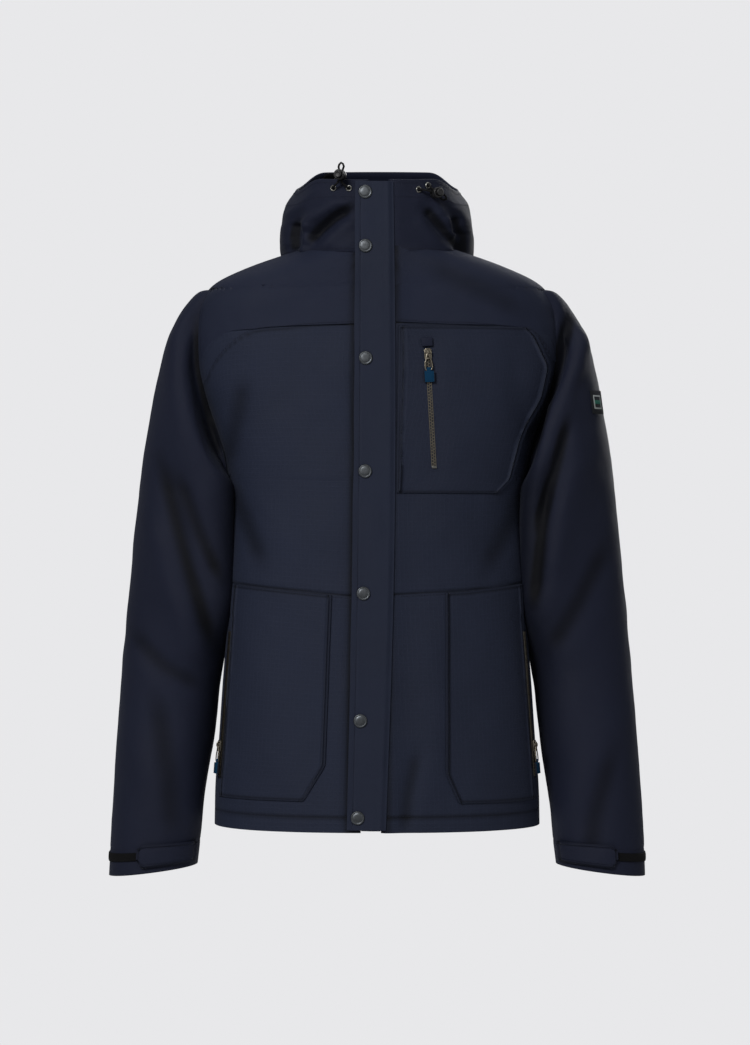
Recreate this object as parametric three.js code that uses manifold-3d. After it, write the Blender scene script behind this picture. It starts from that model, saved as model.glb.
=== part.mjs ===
// A hooded foul weather jacket, as if worn: millimetres, +Z up, front towards -Y, wearer's left towards +X.
// Heights in the sizes below are measured from the neck seam. At the end the whole jacket is moved so
// that its origin is the underside of the hang loop inside the back of the neck.
import * as THREE from 'three';
import { mergeVertices } from 'three/addons/utils/BufferGeometryUtils.js';
import Module from 'manifold-3d';

const wasm = await Module();
wasm.setup();

// ---- Driving sizes ----
const BODY_LENGTH = 650;            // neck seam to hem
const WAIST_DROP = 380;             // neck seam to the waist seam
const ARMHOLE_DROP = 253;           // neck seam to the underarm
const CHEST_HALF_WIDTH = 170;
const HEM_HALF_WIDTH = 186;
const SHOULDER_HALF_WIDTH = 206;    // armhole to centre at its widest
const BODY_FRONT_DEPTH = 127;       // side seam to front at the hem
const BODY_BACK_DEPTH = 126;
const FRONT_LEAN = 0.06;            // the front edge leans back by this much per unit of height
const SLEEVE_END_DROP = 705;        // neck seam to the cuff's edge
const SLEEVE_WIDTH = 113;           // across the sleeve at the elbow
const CUFF_WIDTH = 103;
const SLEEVE_HALF_DEPTH = 62;
const CUFF_HALF_DEPTH = 50;
const SLEEVE_GAP = 2.2;             // sleeve to body at the underarm
const SLEEVE_FLARE = 14;            // how much further out the cuff hangs
const SHELL = 2;                    // outer fabric with its backing
const LINING = 1.2;
const LINING_RISE = 35;             // the lining stops this far above the hem
const LAYER_GAP = 0.6;
const SEAM_GAP = 0.3;               // between pieces that are sewn edge to edge
const MOST_BULGE = 0.35;            // fabric may rise this far into the gap behind a straight zip
const NECK_HALF_WIDTH = 80;
const NECK_HALF_DEPTH = 75;
const NECK_CENTRE_Y = -20;
const COLLAR_HEIGHT = 77;           // neck seam to the collar's top edge, in front
const HOOD_HALF_WIDTH = 109;
const HOOD_BACK_DEPTH = 172;
const HOOD_POUCH_DROP = 75;
const HOOD_MIDDLE_Y = 40;
const HOOD_POWER = 2.7;              // how square the hood is, seen from above
const RIM_SLOPE = 0.15;             // the hood's edge rises towards the back
const YOKE_DROP = 85;               // neck seam to the yoke seam
const BODY_SIDES = 28;
const SLEEVE_SIDES = 18;

// Front closure, across the storm flap
const CLOSURE_TILT = 0.0119;        // radians, the front edge isn't quite upright
const CLOSURE_FOOT_X = -12;
const CLOSURE_OPENING = 22;         // between the two front edges
const ZIP_CENTRE = 5;
const FLAP_FREE_EDGE = -21.5;
const FLAP_SEAM = 21;
const FLAP_FREE_BOW = 2.5;
const FLAP_SEAM_BOW = 6;
const FLAP_THICKNESS = 1.8;
const FLAP_RISE = 5.2;              // body to the flap's inner face
const FLAP_SEAM_WIDTH = 1.6;
const SNAP_CENTRE = -10;
const SNAP_BOW = 4;
const SNAP_SHARES = [0.983, 0.899, 0.725, 0.55, 0.362, 0.167, 0.019];  // up the flap, top snap first
const SNAP_CAP_RADIUS = 7.6;
const SNAP_CAP_HEIGHT = 2;
const SNAP_POST_RADIUS = 2.4;
const SOCKET_RADIUS = 5.5;
const SOCKET_THICKNESS = 1.3;
const STUD_RADIUS = 5.2;
const PLACKET_HALF_WIDTH = 21;
const PLACKET_THICKNESS = 1.4;
const PLACKET_DEPTH = 5.4;            // behind the front edges
const PLACKET_SHIFT = 3;              // off the zip's centre, towards the snaps
const MAIN_ZIP_FOOT = 2;              // foot of the opening to the tape
const MAIN_ZIP_MARGIN = 6;
const MAIN_TAPE_DEPTH = 1.4;
const MAIN_CHAIN_WIDTH = 6;
const MAIN_CHAIN_THICKNESS = 2.2;
const MAIN_SLIDER = { width: 12, length: 16, plate: 1.6 };
const MAIN_PULLER = { width: 5, length: 30, thickness: 0.9 };
const ZIP_BOX = { width: 9, length: 12, thickness: 2.6 };

// Pockets
const POCKET_THICKNESS = 1.5;
const POCKET_GAP = 0.4;
const CHEST_POCKET = { inner: 30, outer: 152, bottomDrop: 273, chamfer: 16 };
const HIP_POCKET = { rightInner: -52, leftInner: 76, seamGap: 6, hemGap: 33, chamfer: 20 };
const CHEST_ZIP = { headX: 55.5, footX: 63.5, topDrop: 106, length: 142, tape: 11.4 };
const SIDE_ZIP = { angle: 1.245, topBelowWaist: 47, hemGap: 54, tape: 11.4 };
const SMALL_CHAIN = { width: 4.2, thickness: 1.5 };
const SMALL_SLIDER = { width: 8, length: 11, plate: 1.4 };
const PULLER = { width: 7.5, length: 19, thickness: 1.4, hole: 3.4 };
const PULL_TAB = { width: 12, length: 13, thickness: 2.2 };
const TAPE_THICKNESS = 0.8;
const ZIP_STOP_MARGIN = 7;

// Cuffs, hood cord and trim
const CUFF_TAB = { height: 27, aboveEdge: 8, free: 17, sewn: 43, thickness: 1.8 };
const CUFF_BAND = { height: 9, aboveEdge: 14, inner: 20, thickness: 1.2 };
const EYELET = { outer: 3.6, inner: 1.9, thickness: 1.6 };
// x of each eyelet, and its drop below the rim
const EYELETS = { right: [[-49, 8.5], [-31, 9]], left: [[46.5, 10], [57, 5]] };
const CORD_DIAMETER = 2.4;
const CORD_STRAND_OFFSET = 1.8;
const CORD_LOOP = 8;                // cord beyond the lock
const LOCK = { radius: 6, inner: 5, outer: 8, boreWidth: 8.4, boreDepth: 5 };
const LOCK_REACH = 14;              // eyelets to lock, along the cord
const LOCK_STANDOFF = 8;
const LOCK_ANGLE = { right: 1.48, left: -0.47 };   // the cord's direction, from +X towards +Z
const BUTTON = { radius: 3.9, length: 5.8, travel: 3.5 };
const BADGE = { width: 26, height: 25, thickness: 1, drop: 170, angle: 0.95 };
const LOOP = { width: 44, height: 14, strip: 3.2, thickness: 1.5, footDrop: 8, y: 45.5 };

// ---- Materials ----
function material(name, color, roughness, metalness) {
  return new THREE.MeshStandardMaterial({ name, color, roughness, metalness });
}
const shellFabric = () => material('shell_fabric', 0x22293a, 0.75, 0);
const yokeFabric = () => material('shell_fabric_dark', 0x1b2030, 0.75, 0);
const liningFabric = () => material('lining_fabric', 0x0c0d12, 0.85, 0);
const snapMetal = () => material('snap_metal', 0x6f7477, 0.35, 1);
const zipMetal = () => material('zip_metal', 0x8a7f68, 0.35, 1);
const tapeFabric = () => material('zip_tape', 0x12141c, 0.85, 0);
const tabFabric = () => material('pull_tab', 0x00507c, 0.6, 0);
const blackPlastic = () => material('black_plastic', 0x0d0d0f, 0.45, 0);
const cordFabric = () => material('cord', 0x0b0b0d, 0.8, 0);
const badgeFabric = () => material('badge', 0x15171a, 0.8, 0);

// ---- Solids: closed meshes joined and cut ----
function solidOf(geometry) {
  const bare = geometry.clone();
  bare.deleteAttribute('normal');
  bare.deleteAttribute('uv');
  const merged = mergeVertices(bare, 1e-4);
  const vertProperties = new Float32Array(merged.attributes.position.array);
  const triVerts = new Uint32Array(merged.index.array);
  return new wasm.Manifold(new wasm.Mesh({ numProp: 3, vertProperties, triVerts }));
}

function geometryOf(solid) {
  const mesh = solid.getMesh();
  const geometry = new THREE.BufferGeometry();
  geometry.setAttribute('position', new THREE.BufferAttribute(new Float32Array(mesh.vertProperties), 3));
  geometry.setIndex(new THREE.BufferAttribute(new Uint32Array(mesh.triVerts), 1));
  geometry.computeVertexNormals();
  return geometry;
}

function namedMesh(name, geometry, surface) {
  const mesh = new THREE.Mesh(geometry, surface);
  mesh.name = name;
  return mesh;
}

function box(width, depth, height, x = 0, y = 0, z = 0) {
  return new THREE.BoxGeometry(width, depth, height).translate(x, y, z);
}

// A prism that runs front to back through the whole jacket, from an outline of [x, z] corners.
function frontPrism(corners, yFront = -400, yBack = 400) {
  const shape = new THREE.Shape(corners.map(([x, z]) => new THREE.Vector2(x, z)));
  const geometry = new THREE.ExtrudeGeometry(shape, { depth: yBack - yFront, bevelEnabled: false });
  geometry.rotateX(Math.PI / 2);
  return solidOf(geometry.translate(0, yBack, 0));
}

// A closed tube of fabric: a cylinder whose rings are drawn out to rounded rectangles.
// Each level has a height z, a centre x, half a width, and the y of its front, middle and back.
// The ends can be drawn in by a wall, or carried on past the openings.
function fabricTube(stack, sides, inset, extraDown = 0, extraUp = 0) {
  const levels = stack.map((level) => ({ ...level }));
  const [foot, head] = [levels[0], levels[levels.length - 1]];
  if (extraDown > 0) {
    levels.unshift({ ...foot, z: foot.z - extraDown });
  } else {
    foot.z -= extraDown;
  }
  if (extraUp > 0) {
    levels.push({ ...head, z: head.z + extraUp });
  } else {
    head.z += extraUp;
  }
  const last = levels.length - 1;
  const geometry = new THREE.CylinderGeometry(1, 1, 1, sides, last, false, Math.PI / sides);
  const points = geometry.attributes.position;
  for (let i = 0; i < points.count; i += 1) {
    const step = Math.round((points.getY(i) + 0.5) * last);
    points.setXYZ(i, ...levelPoint(levels[step], points.getX(i), -points.getZ(i), inset));
  }
  return solidOf(geometry);
}

function levelPoint(level, sine, cosine, inset) {
  const power = 2 / level.power;
  const across = Math.sign(sine) * Math.abs(sine) ** power;
  const along = Math.abs(cosine) ** power;
  const reach = cosine < 0 ? level.middle - level.front - inset : level.back - level.middle - inset;
  const x = (level.x ?? 0) + across * (level.half - inset);
  const y = level.middle + Math.sign(cosine) * along * reach;
  const z = level.z + (level.tiltX ?? 0) * (x - (level.x ?? 0)) + (level.tiltY ?? 0) * (y - level.front);
  return [x, y, z];
}

// ---- The body as a stack of levels ----
const frontY = (z) => -96 + FRONT_LEAN * z;
const HEM_Z = -BODY_LENGTH;

function bodyHalfWidth(z) {
  const below = THREE.MathUtils.clamp((-z - WAIST_DROP) / (BODY_LENGTH - WAIST_DROP), 0, 1);
  const flare = Math.min(1, below * 1.2) ** 1.25;
  return CHEST_HALF_WIDTH + (HEM_HALF_WIDTH - CHEST_HALF_WIDTH) * flare;
}

function bodyLevels() {
  const middle = frontY(HEM_Z) + BODY_FRONT_DEPTH;
  const level = (z, half, back) => ({ z, half, front: frontY(z), middle, back: middle + back, power: 2.4 });
  const waist = -WAIST_DROP;
  const skirt = [0, 0.17, 0.36, 0.58, 0.78].map((share) => {
    const z = HEM_Z + share * (BODY_LENGTH - WAIST_DROP);
    return level(z, bodyHalfWidth(z), BODY_BACK_DEPTH - 10 * share);
  });
  const shoulder = SHOULDER_HALF_WIDTH;
  return [
    ...skirt,
    level(waist, CHEST_HALF_WIDTH, BODY_BACK_DEPTH - 12),
    level(-ARMHOLE_DROP - 8, CHEST_HALF_WIDTH, BODY_BACK_DEPTH - 2),
    level(-0.77 * ARMHOLE_DROP, CHEST_HALF_WIDTH + 0.44 * (shoulder - CHEST_HALF_WIDTH), BODY_BACK_DEPTH),
    level(-0.52 * ARMHOLE_DROP, shoulder, BODY_BACK_DEPTH + 2),
    level(-80, shoulder + 3, BODY_BACK_DEPTH - 2),
    level(-51, shoulder - 6, BODY_BACK_DEPTH - 8),
    level(-30, 0.85 * shoulder, BODY_BACK_DEPTH - 17),
    level(-17, 0.72 * shoulder, BODY_BACK_DEPTH - 26),
    level(-7, 0.6 * shoulder, BODY_BACK_DEPTH - 34),
    level(3, NECK_HALF_WIDTH + 14, BODY_BACK_DEPTH - 44),
  ];
}

// ---- A sleeve as a stack of levels, hanging beside the body ----
function sleeveLevels(side) {
  const hang = (z) => THREE.MathUtils.clamp((-z - WAIST_DROP) / (SLEEVE_END_DROP - WAIST_DROP), 0, 1);
  const level = (z, inner, outer, halfDepth, middle, power = 2.2) => ({
    z,
    x: (side * (inner + outer)) / 2,
    half: (outer - inner) / 2,
    front: middle - halfDepth,
    middle,
    back: middle + halfDepth,
    power,
    tiltX: -side * 0.1 * hang(z),
  });
  const hanging = [1, 0.72, 0.45, 0.22, 0].map((share) => {
    const z = -WAIST_DROP - share * (SLEEVE_END_DROP - WAIST_DROP);
    const inner = bodyHalfWidth(z) + SLEEVE_GAP + SLEEVE_FLARE * share ** 1.3;
    const width = THREE.MathUtils.lerp(SLEEVE_WIDTH, CUFF_WIDTH, share);
    const halfDepth = THREE.MathUtils.lerp(SLEEVE_HALF_DEPTH, CUFF_HALF_DEPTH, share);
    return level(z, inner, inner + width, halfDepth, 16 - 30 * share);
  });
  const under = CHEST_HALF_WIDTH + SLEEVE_GAP;
  const shoulder = SHOULDER_HALF_WIDTH;
  return [
    ...hanging,
    level(-ARMHOLE_DROP - 50, under, under + 106, SLEEVE_HALF_DEPTH + 3, 16),
    level(-ARMHOLE_DROP - 6, under + 0.6, under + 99, SLEEVE_HALF_DEPTH + 6, 14),
    level(-0.79 * ARMHOLE_DROP, 0.78 * CHEST_HALF_WIDTH, shoulder + 58, SLEEVE_HALF_DEPTH + 8, 12),
    level(-0.57 * ARMHOLE_DROP, 0.72 * CHEST_HALF_WIDTH, shoulder + 48, SLEEVE_HALF_DEPTH + 8, 12),
    level(-0.37 * ARMHOLE_DROP, 0.68 * CHEST_HALF_WIDTH, shoulder + 34, SLEEVE_HALF_DEPTH + 4, 12),
    level(-0.26 * ARMHOLE_DROP, 0.66 * CHEST_HALF_WIDTH, shoulder + 22, SLEEVE_HALF_DEPTH - 4, 12),
    level(-0.17 * ARMHOLE_DROP, 0.66 * CHEST_HALF_WIDTH, shoulder + 1, SLEEVE_HALF_DEPTH - 20, 12),
    level(-0.12 * ARMHOLE_DROP, 0.66 * CHEST_HALF_WIDTH, shoulder - 24, SLEEVE_HALF_DEPTH - 34, 12),
  ];
}

// The line of the armhole seam and, below it, the space between sleeve and body: [x, z] corners, top first.
function armholeLine(side, shift) {
  const shoulder = SHOULDER_HALF_WIDTH;
  const below = [0.2, 0.5, 0.8, 1].map((share) => {
    const z = -WAIST_DROP - share * (SLEEVE_END_DROP - WAIST_DROP);
    return [bodyHalfWidth(z) + SLEEVE_GAP / 2 + 0.4 * SLEEVE_FLARE * share ** 1.3, z];
  });
  const line = [
    [shoulder - 24, 60],
    [shoulder - 4, -42],
    [shoulder + 2, -80],
    [shoulder - 3, -0.53 * ARMHOLE_DROP],
    [CHEST_HALF_WIDTH + 0.36 * (shoulder - CHEST_HALF_WIDTH), -0.78 * ARMHOLE_DROP],
    [CHEST_HALF_WIDTH + SLEEVE_GAP / 2, -ARMHOLE_DROP],
    [CHEST_HALF_WIDTH + SLEEVE_GAP / 2, -WAIST_DROP],
    ...below,
    [below[3][0], -SLEEVE_END_DROP - 60],
  ];
  return line.map(([x, z]) => [side * (x + shift), z]);
}

function sleeveRegion(side) {
  const line = armholeLine(side, SEAM_GAP / 2);
  const far = side * 500;
  const corners = [...line, [far, line[line.length - 1][1]], [far, 60]];
  return frontPrism(side > 0 ? corners : corners.reverse());
}

function bodyRegion() {
  const right = armholeLine(-1, -SEAM_GAP / 2);
  const left = armholeLine(1, -SEAM_GAP / 2);
  return frontPrism([...right, ...left.reverse()]);
}

// ---- Shells ----
const bodyStack = bodyLevels();
const sleeveStacks = { [-1]: sleeveLevels(-1), [1]: sleeveLevels(1) };

function neckPlug(margin = 0, below = 60) {
  const plug = new THREE.CylinderGeometry(1, 1, 200, BODY_SIDES);
  plug.rotateX(Math.PI / 2);
  plug.scale(NECK_HALF_WIDTH + margin, NECK_HALF_DEPTH + margin, 1);
  return solidOf(plug.translate(0, NECK_CENTRE_Y, 100 - below));
}

function jacketSolid(inset, extraDown) {
  const body = fabricTube(bodyStack, BODY_SIDES, inset, extraDown, -Math.max(inset, 0));
  const right = fabricTube(sleeveStacks[-1], SLEEVE_SIDES, inset, extraDown, -Math.max(inset, 0));
  const left = fabricTube(sleeveStacks[1], SLEEVE_SIDES, inset, extraDown, -Math.max(inset, 0));
  return body.add(right).add(left);
}

const jacketShell = jacketSolid(0, 0).subtract(jacketSolid(SHELL, 40)).subtract(neckPlug());
const bodyShell = jacketShell.intersect(bodyRegion());

// ---- Front closure frame: x across, -y outwards, z up along the front edge ----
const closure = new THREE.Group();
closure.position.set(CLOSURE_FOOT_X, frontY(HEM_Z), HEM_Z);
closure.rotation.set(-Math.atan(FRONT_LEAN), CLOSURE_TILT, 0);
closure.updateMatrixWorld(true);
const CLOSURE_LENGTH = (BODY_LENGTH + COLLAR_HEIGHT) / Math.cos(Math.atan(FRONT_LEAN));

function inClosure(geometry) {
  return solidOf(geometry.clone().applyMatrix4(closure.matrixWorld));
}

function closureOpening(width, depth = 60) {
  return inClosure(box(width, depth, CLOSURE_LENGTH + 200, ZIP_CENTRE, 0, CLOSURE_LENGTH / 2));
}

// ---- Yoke, fronts and back ----
function yokeRegion(shift) {
  const drop = YOKE_DROP + shift;
  const side = (sign) => [[sign * 100, -drop - 3], [sign * 155, -drop - 15], [sign * 190, -drop - 45],
    [sign * 300, -drop - 70]];
  return frontPrism([...side(-1).reverse(), [0, -drop], ...side(1), [300, 200], [-300, 200]]);
}

function halfSpace(frontSide, gap) {
  const depth = 500;
  const centre = frontSide ? -depth / 2 - gap : depth / 2 + gap;
  return solidOf(box(1200, depth, 1600, 0, bodyStack[0].middle + 8 + centre, -300));
}

const opening = closureOpening(CLOSURE_OPENING);
const yoke = bodyShell.intersect(yokeRegion(-SEAM_GAP / 2)).subtract(opening);
const belowYoke = bodyShell.subtract(yokeRegion(SEAM_GAP / 2));
const fronts = belowYoke.intersect(halfSpace(true, SEAM_GAP / 2)).subtract(opening);
const back = belowYoke.intersect(halfSpace(false, SEAM_GAP / 2));

function sideOfFront(sign) {
  return inClosure(box(500, 600, 1600, ZIP_CENTRE + sign * 250, 0, 300));
}

function addShellPanels(group) {
  group.add(namedMesh('shoulder_yoke', geometryOf(yoke), yokeFabric()));
  group.add(namedMesh('right_front_panel', geometryOf(fronts.intersect(sideOfFront(-1))), shellFabric()));
  group.add(namedMesh('left_front_panel', geometryOf(fronts.intersect(sideOfFront(1))), shellFabric()));
  group.add(namedMesh('back_panel', geometryOf(back), shellFabric()));
  for (const [name, side] of [['right_sleeve', -1], ['left_sleeve', 1]]) {
    group.add(namedMesh(name, geometryOf(jacketShell.intersect(sleeveRegion(side))), yokeFabric()));
  }
}

// ---- Lining of the body, open in front behind the zip ----
function addBodyLining(group) {
  const outer = fabricTube(bodyStack, BODY_SIDES, SHELL + LAYER_GAP, 0, -SHELL - 1);
  const inner = fabricTube(bodyStack, BODY_SIDES, SHELL + LAYER_GAP + LINING, 40, -SHELL - 1 - LINING);
  const side = (sign) => armholeLine(sign, -14);
  const aboveHem = solidOf(box(800, 800, BODY_LENGTH, 0, 0, HEM_Z + LINING_RISE + BODY_LENGTH / 2));
  const region = frontPrism([...side(-1), ...side(1).reverse()]).intersect(aboveHem);
  const lining = outer.subtract(inner).intersect(region).subtract(neckPlug(4, 80));
  const frontGap = closureOpening(2 * PLACKET_HALF_WIDTH + 18, 80);
  group.add(namedMesh('body_lining', geometryOf(lining.subtract(frontGap)), liningFabric()));
}

// ---- Hood with its collar, let down behind the neck ----
function hoodLevels() {
  const rim = COLLAR_HEIGHT;
  const wide = HOOD_HALF_WIDTH;
  const deep = HOOD_BACK_DEPTH;
  const level = (z, half, front, back, tiltY = 0) => (
    { z, half, front, middle: HOOD_MIDDLE_Y, back, power: HOOD_POWER, tiltY });
  return [
    level(-HOOD_POUCH_DROP, 0.5 * wide, 15, deep - 42),
    level(-HOOD_POUCH_DROP + 16, 0.78 * wide, -10, deep - 16),
    level(-20, 0.97 * wide, -60, deep - 3),
    level(-4, wide + 1, frontY(-4), deep),
    level(0.45 * rim, wide, frontY(0.45 * rim), deep - 8),
    level(0.8 * rim, 0.955 * wide, frontY(0.8 * rim), deep - 19, RIM_SLOPE * 0.5),
    level(rim, 0.86 * wide, frontY(rim), deep - 34, RIM_SLOPE),
  ];
}

const hoodStack = hoodLevels();

function hoodShell(outset, thickness, rimDrop, frontGap) {
  const outer = fabricTube(hoodStack, BODY_SIDES, outset, -outset, -rimDrop);
  const inner = fabricTube(hoodStack, BODY_SIDES, outset + thickness, -outset - thickness, 60);
  const bodyFill = jacketSolid(-LAYER_GAP, 0);
  const topOfBody = neckPlug(4, 160);
  return outer.subtract(inner).subtract(bodyFill).subtract(topOfBody.intersect(
    solidOf(box(600, 600, 200, 0, 0, -97)))).subtract(closureOpening(frontGap));
}

function addHood(group) {
  let hood = hoodShell(0, SHELL, 0, CLOSURE_OPENING);
  for (const frame of [...eyeletFrames('right'), ...eyeletFrames('left')]) {
    hood = hood.subtract(eyeletHole(frame));
  }
  group.add(namedMesh('hood', geometryOf(hood), yokeFabric()));
  const liningGap = 2 * PLACKET_HALF_WIDTH + 18;
  const lining = hoodShell(SHELL + LAYER_GAP, LINING, 12, liningGap);
  group.add(namedMesh('hood_lining', geometryOf(lining), liningFabric()));
}

// ---- Storm flap, its snaps and what lies under it ----
const bow = (share) => Math.sin(Math.PI * share);
const FLAP_FOOT = 3;
const FLAP_TOP = CLOSURE_LENGTH - 2;
const FLAP_OUTER = FLAP_RISE + FLAP_THICKNESS;
const flapHeight = (share) => FLAP_FOOT + share * (FLAP_TOP - FLAP_FOOT);

// A strip up the front edge whose two long sides bow by the same curve, between two distances out.
function bowedStrip(left, leftBow, right, rightBow, inner, outer) {
  const shares = [0, 0.12, 0.25, 0.38, 0.5, 0.62, 0.75, 0.88, 1];
  const up = shares.map((s) => new THREE.Vector2(right + rightBow * bow(s), flapHeight(s)));
  const down = shares.map((s) => new THREE.Vector2(left + leftBow * bow(s), flapHeight(s))).reverse();
  const shape = new THREE.Shape([...up, ...down]);
  const geometry = new THREE.ExtrudeGeometry(shape, { depth: outer - inner, bevelEnabled: false });
  return geometry.rotateX(Math.PI / 2).translate(0, -inner, 0);
}

function snapPlaces() {
  return SNAP_SHARES.map((up) => ({ x: SNAP_CENTRE + SNAP_BOW * bow(up), z: flapHeight(up) }));
}

function roundPart(profile, sides) {
  const points = profile.map(([radius, height]) => new THREE.Vector2(radius, height));
  return new THREE.LatheGeometry(points, sides);
}

// Round parts stand along +y of their own frame, so -y heights point out of the jacket.
function snapCapGeometry() {
  const face = FLAP_OUTER + SEAM_GAP;
  const inside = FLAP_RISE - SEAM_GAP;
  const top = face + SNAP_CAP_HEIGHT;
  const profile = [[0, inside - SOCKET_THICKNESS], [SOCKET_RADIUS, inside - SOCKET_THICKNESS],
    [SOCKET_RADIUS, inside], [SNAP_POST_RADIUS, inside], [SNAP_POST_RADIUS, face], [SNAP_CAP_RADIUS, face],
    [SNAP_CAP_RADIUS, face + 0.8], [0.86 * SNAP_CAP_RADIUS, top - 0.3], [0.5 * SNAP_CAP_RADIUS, top],
    [0, top]];
  return roundPart(profile, 14).rotateX(Math.PI);
}

function snapStudGeometry() {
  const head = FLAP_RISE - SEAM_GAP - SOCKET_THICKNESS - SEAM_GAP;
  const profile = [[0, 0.2], [STUD_RADIUS, 0.2], [STUD_RADIUS, 1], [SNAP_POST_RADIUS - 0.4, 1.2],
    [SNAP_POST_RADIUS, head - 0.4], [SNAP_POST_RADIUS - 0.5, head], [0, head]];
  return roundPart(profile, 12).rotateX(Math.PI);
}

function addStormFlap(group) {
  const sheet = bowedStrip(FLAP_FREE_EDGE, FLAP_FREE_BOW, FLAP_SEAM, FLAP_SEAM_BOW, FLAP_RISE, FLAP_OUTER);
  let flap = solidOf(sheet);
  for (const place of snapPlaces()) {
    const holeRadius = SNAP_POST_RADIUS + SEAM_GAP;
    const hole = new THREE.CylinderGeometry(holeRadius, holeRadius, 30, 12);
    flap = flap.subtract(solidOf(hole.translate(place.x, -FLAP_RISE, place.z)));
  }
  group.add(namedMesh('storm_flap', geometryOf(flap), shellFabric()));
  // The turned edge that is sewn to the wearer's left front and carries the flap.
  const edge = bowedStrip(FLAP_SEAM - FLAP_SEAM_WIDTH, FLAP_SEAM_BOW, FLAP_SEAM, FLAP_SEAM_BOW, SEAM_GAP,
    FLAP_RISE - SEAM_GAP);
  group.add(namedMesh('flap_seam', edge, shellFabric()));
}

function addSnaps(group) {
  snapPlaces().forEach((place, index) => {
    const cap = namedMesh(`snap_cap_${index + 1}`, snapCapGeometry(), snapMetal());
    const stud = namedMesh(`snap_stud_${index + 1}`, snapStudGeometry(), snapMetal());
    for (const mesh of [cap, stud]) {
      mesh.position.set(place.x, 0, place.z);
      group.add(mesh);
    }
  });
}

function addMainZip(group) {
  const top = CLOSURE_LENGTH - MAIN_ZIP_MARGIN;
  const tapeWidth = CLOSURE_OPENING - 2 * SEAM_GAP;
  const tape = box(tapeWidth, TAPE_THICKNESS, top, ZIP_CENTRE, MAIN_TAPE_DEPTH, top / 2 + MAIN_ZIP_FOOT);
  group.add(namedMesh('main_zip_tape', tape, tapeFabric()));
  const chainFoot = MAIN_ZIP_FOOT + ZIP_BOX.length + SEAM_GAP;
  const chainBack = MAIN_TAPE_DEPTH - TAPE_THICKNESS / 2 - SEAM_GAP;
  const chainLength = top - 4 - chainFoot;
  const chainY = chainBack - MAIN_CHAIN_THICKNESS / 2;
  const chain = box(MAIN_CHAIN_WIDTH, MAIN_CHAIN_THICKNESS, chainLength, ZIP_CENTRE, chainY,
    chainFoot + chainLength / 2);
  group.add(namedMesh('main_zip_chain', chain, blackPlastic()));
  const boxY = chainBack - ZIP_BOX.thickness / 2;
  const foot = box(ZIP_BOX.width, ZIP_BOX.thickness, ZIP_BOX.length, ZIP_CENTRE, boxY,
    MAIN_ZIP_FOOT + ZIP_BOX.length / 2);
  group.add(namedMesh('main_zip_box', foot, blackPlastic()));
  const plateY = chainBack - MAIN_CHAIN_THICKNESS - SEAM_GAP - MAIN_SLIDER.plate / 2;
  const sliderZ = chainFoot + chainLength - MAIN_SLIDER.length / 2;
  const plate = box(MAIN_SLIDER.width, MAIN_SLIDER.plate, MAIN_SLIDER.length, ZIP_CENTRE, plateY, sliderZ);
  const pullerY = plateY - MAIN_SLIDER.plate / 2 - MAIN_PULLER.thickness / 2 + 0.1;
  const puller = box(MAIN_PULLER.width, MAIN_PULLER.thickness, MAIN_PULLER.length, ZIP_CENTRE, pullerY,
    sliderZ + 4 - MAIN_PULLER.length / 2);
  const slider = solidOf(plate).add(solidOf(puller));
  group.add(namedMesh('main_zip_slider', geometryOf(slider), zipMetal()));
}

function addUnderPlacket(group) {
  const width = 2 * PLACKET_HALF_WIDTH;
  const length = CLOSURE_LENGTH - 8;
  const depth = PLACKET_DEPTH + PLACKET_THICKNESS / 2;
  const placket = box(width, PLACKET_THICKNESS, length, ZIP_CENTRE - PLACKET_SHIFT, depth, length / 2 + 3);
  group.add(namedMesh('under_placket', placket, yokeFabric()));
}

// ---- Places on the body's surface ----
// A frame on the body with x across, -y out of the fabric and z up along it, between a lower and an
// upper point. Angles go round the body from its front towards the wearer's left.
function surfaceFrame(lowAngle, zLow, highAngle, zHigh) {
  const low = bodySurface(lowAngle, zLow);
  const high = bodySurface(highAngle, zHigh);
  const turn = 0.02;
  const middle = (lowAngle + highAngle) / 2;
  const ahead = bodySurface(middle + turn, (zLow + zHigh) / 2);
  const behind = bodySurface(middle - turn, (zLow + zHigh) / 2);
  const up = high.clone().sub(low).normalize();
  const inward = up.clone().cross(ahead.clone().sub(behind)).normalize();
  const across = inward.clone().cross(up);
  const group = new THREE.Group();
  group.position.copy(low.clone().add(high).multiplyScalar(0.5));
  const bulge = bulgeBeyond(group.position, inward, (share) => bodySurface(
    lowAngle + (highAngle - lowAngle) * share, zLow + (zHigh - zLow) * share));
  group.position.addScaledVector(inward, -Math.max(0, bulge - MOST_BULGE));
  group.quaternion.setFromRotationMatrix(new THREE.Matrix4().makeBasis(across, inward, up));
  group.updateMatrixWorld(true);
  return group;
}

// How far a line on the surface stands out beyond a plane, at its most.
function bulgeBeyond(origin, inward, lineAt) {
  let most = 0;
  for (let step = 1; step < 20; step += 1) {
    const away = lineAt(step / 20).sub(origin).dot(inward);
    most = Math.max(most, -away);
  }
  return most;
}

function bodySurface(angle, z) {
  const index = Math.max(1, bodyStack.findIndex((level) => level.z >= z));
  const [lower, upper] = [bodyStack[index - 1], bodyStack[index]];
  const share = (z - lower.z) / (upper.z - lower.z);
  const at = (level) => new THREE.Vector3(...levelPoint(level, Math.sin(angle), -Math.cos(angle), 0));
  return at(lower).lerp(at(upper), share);
}

// The angle of the point on the front whose x is given, at a height.
function frontAngleAt(x, z) {
  let low = -Math.PI / 2;
  let high = Math.PI / 2;
  for (let step = 0; step < 40; step += 1) {
    const middle = (low + high) / 2;
    if (bodySurface(middle, z).x < x) {
      low = middle;
    } else {
      high = middle;
    }
  }
  return low;
}

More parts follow.
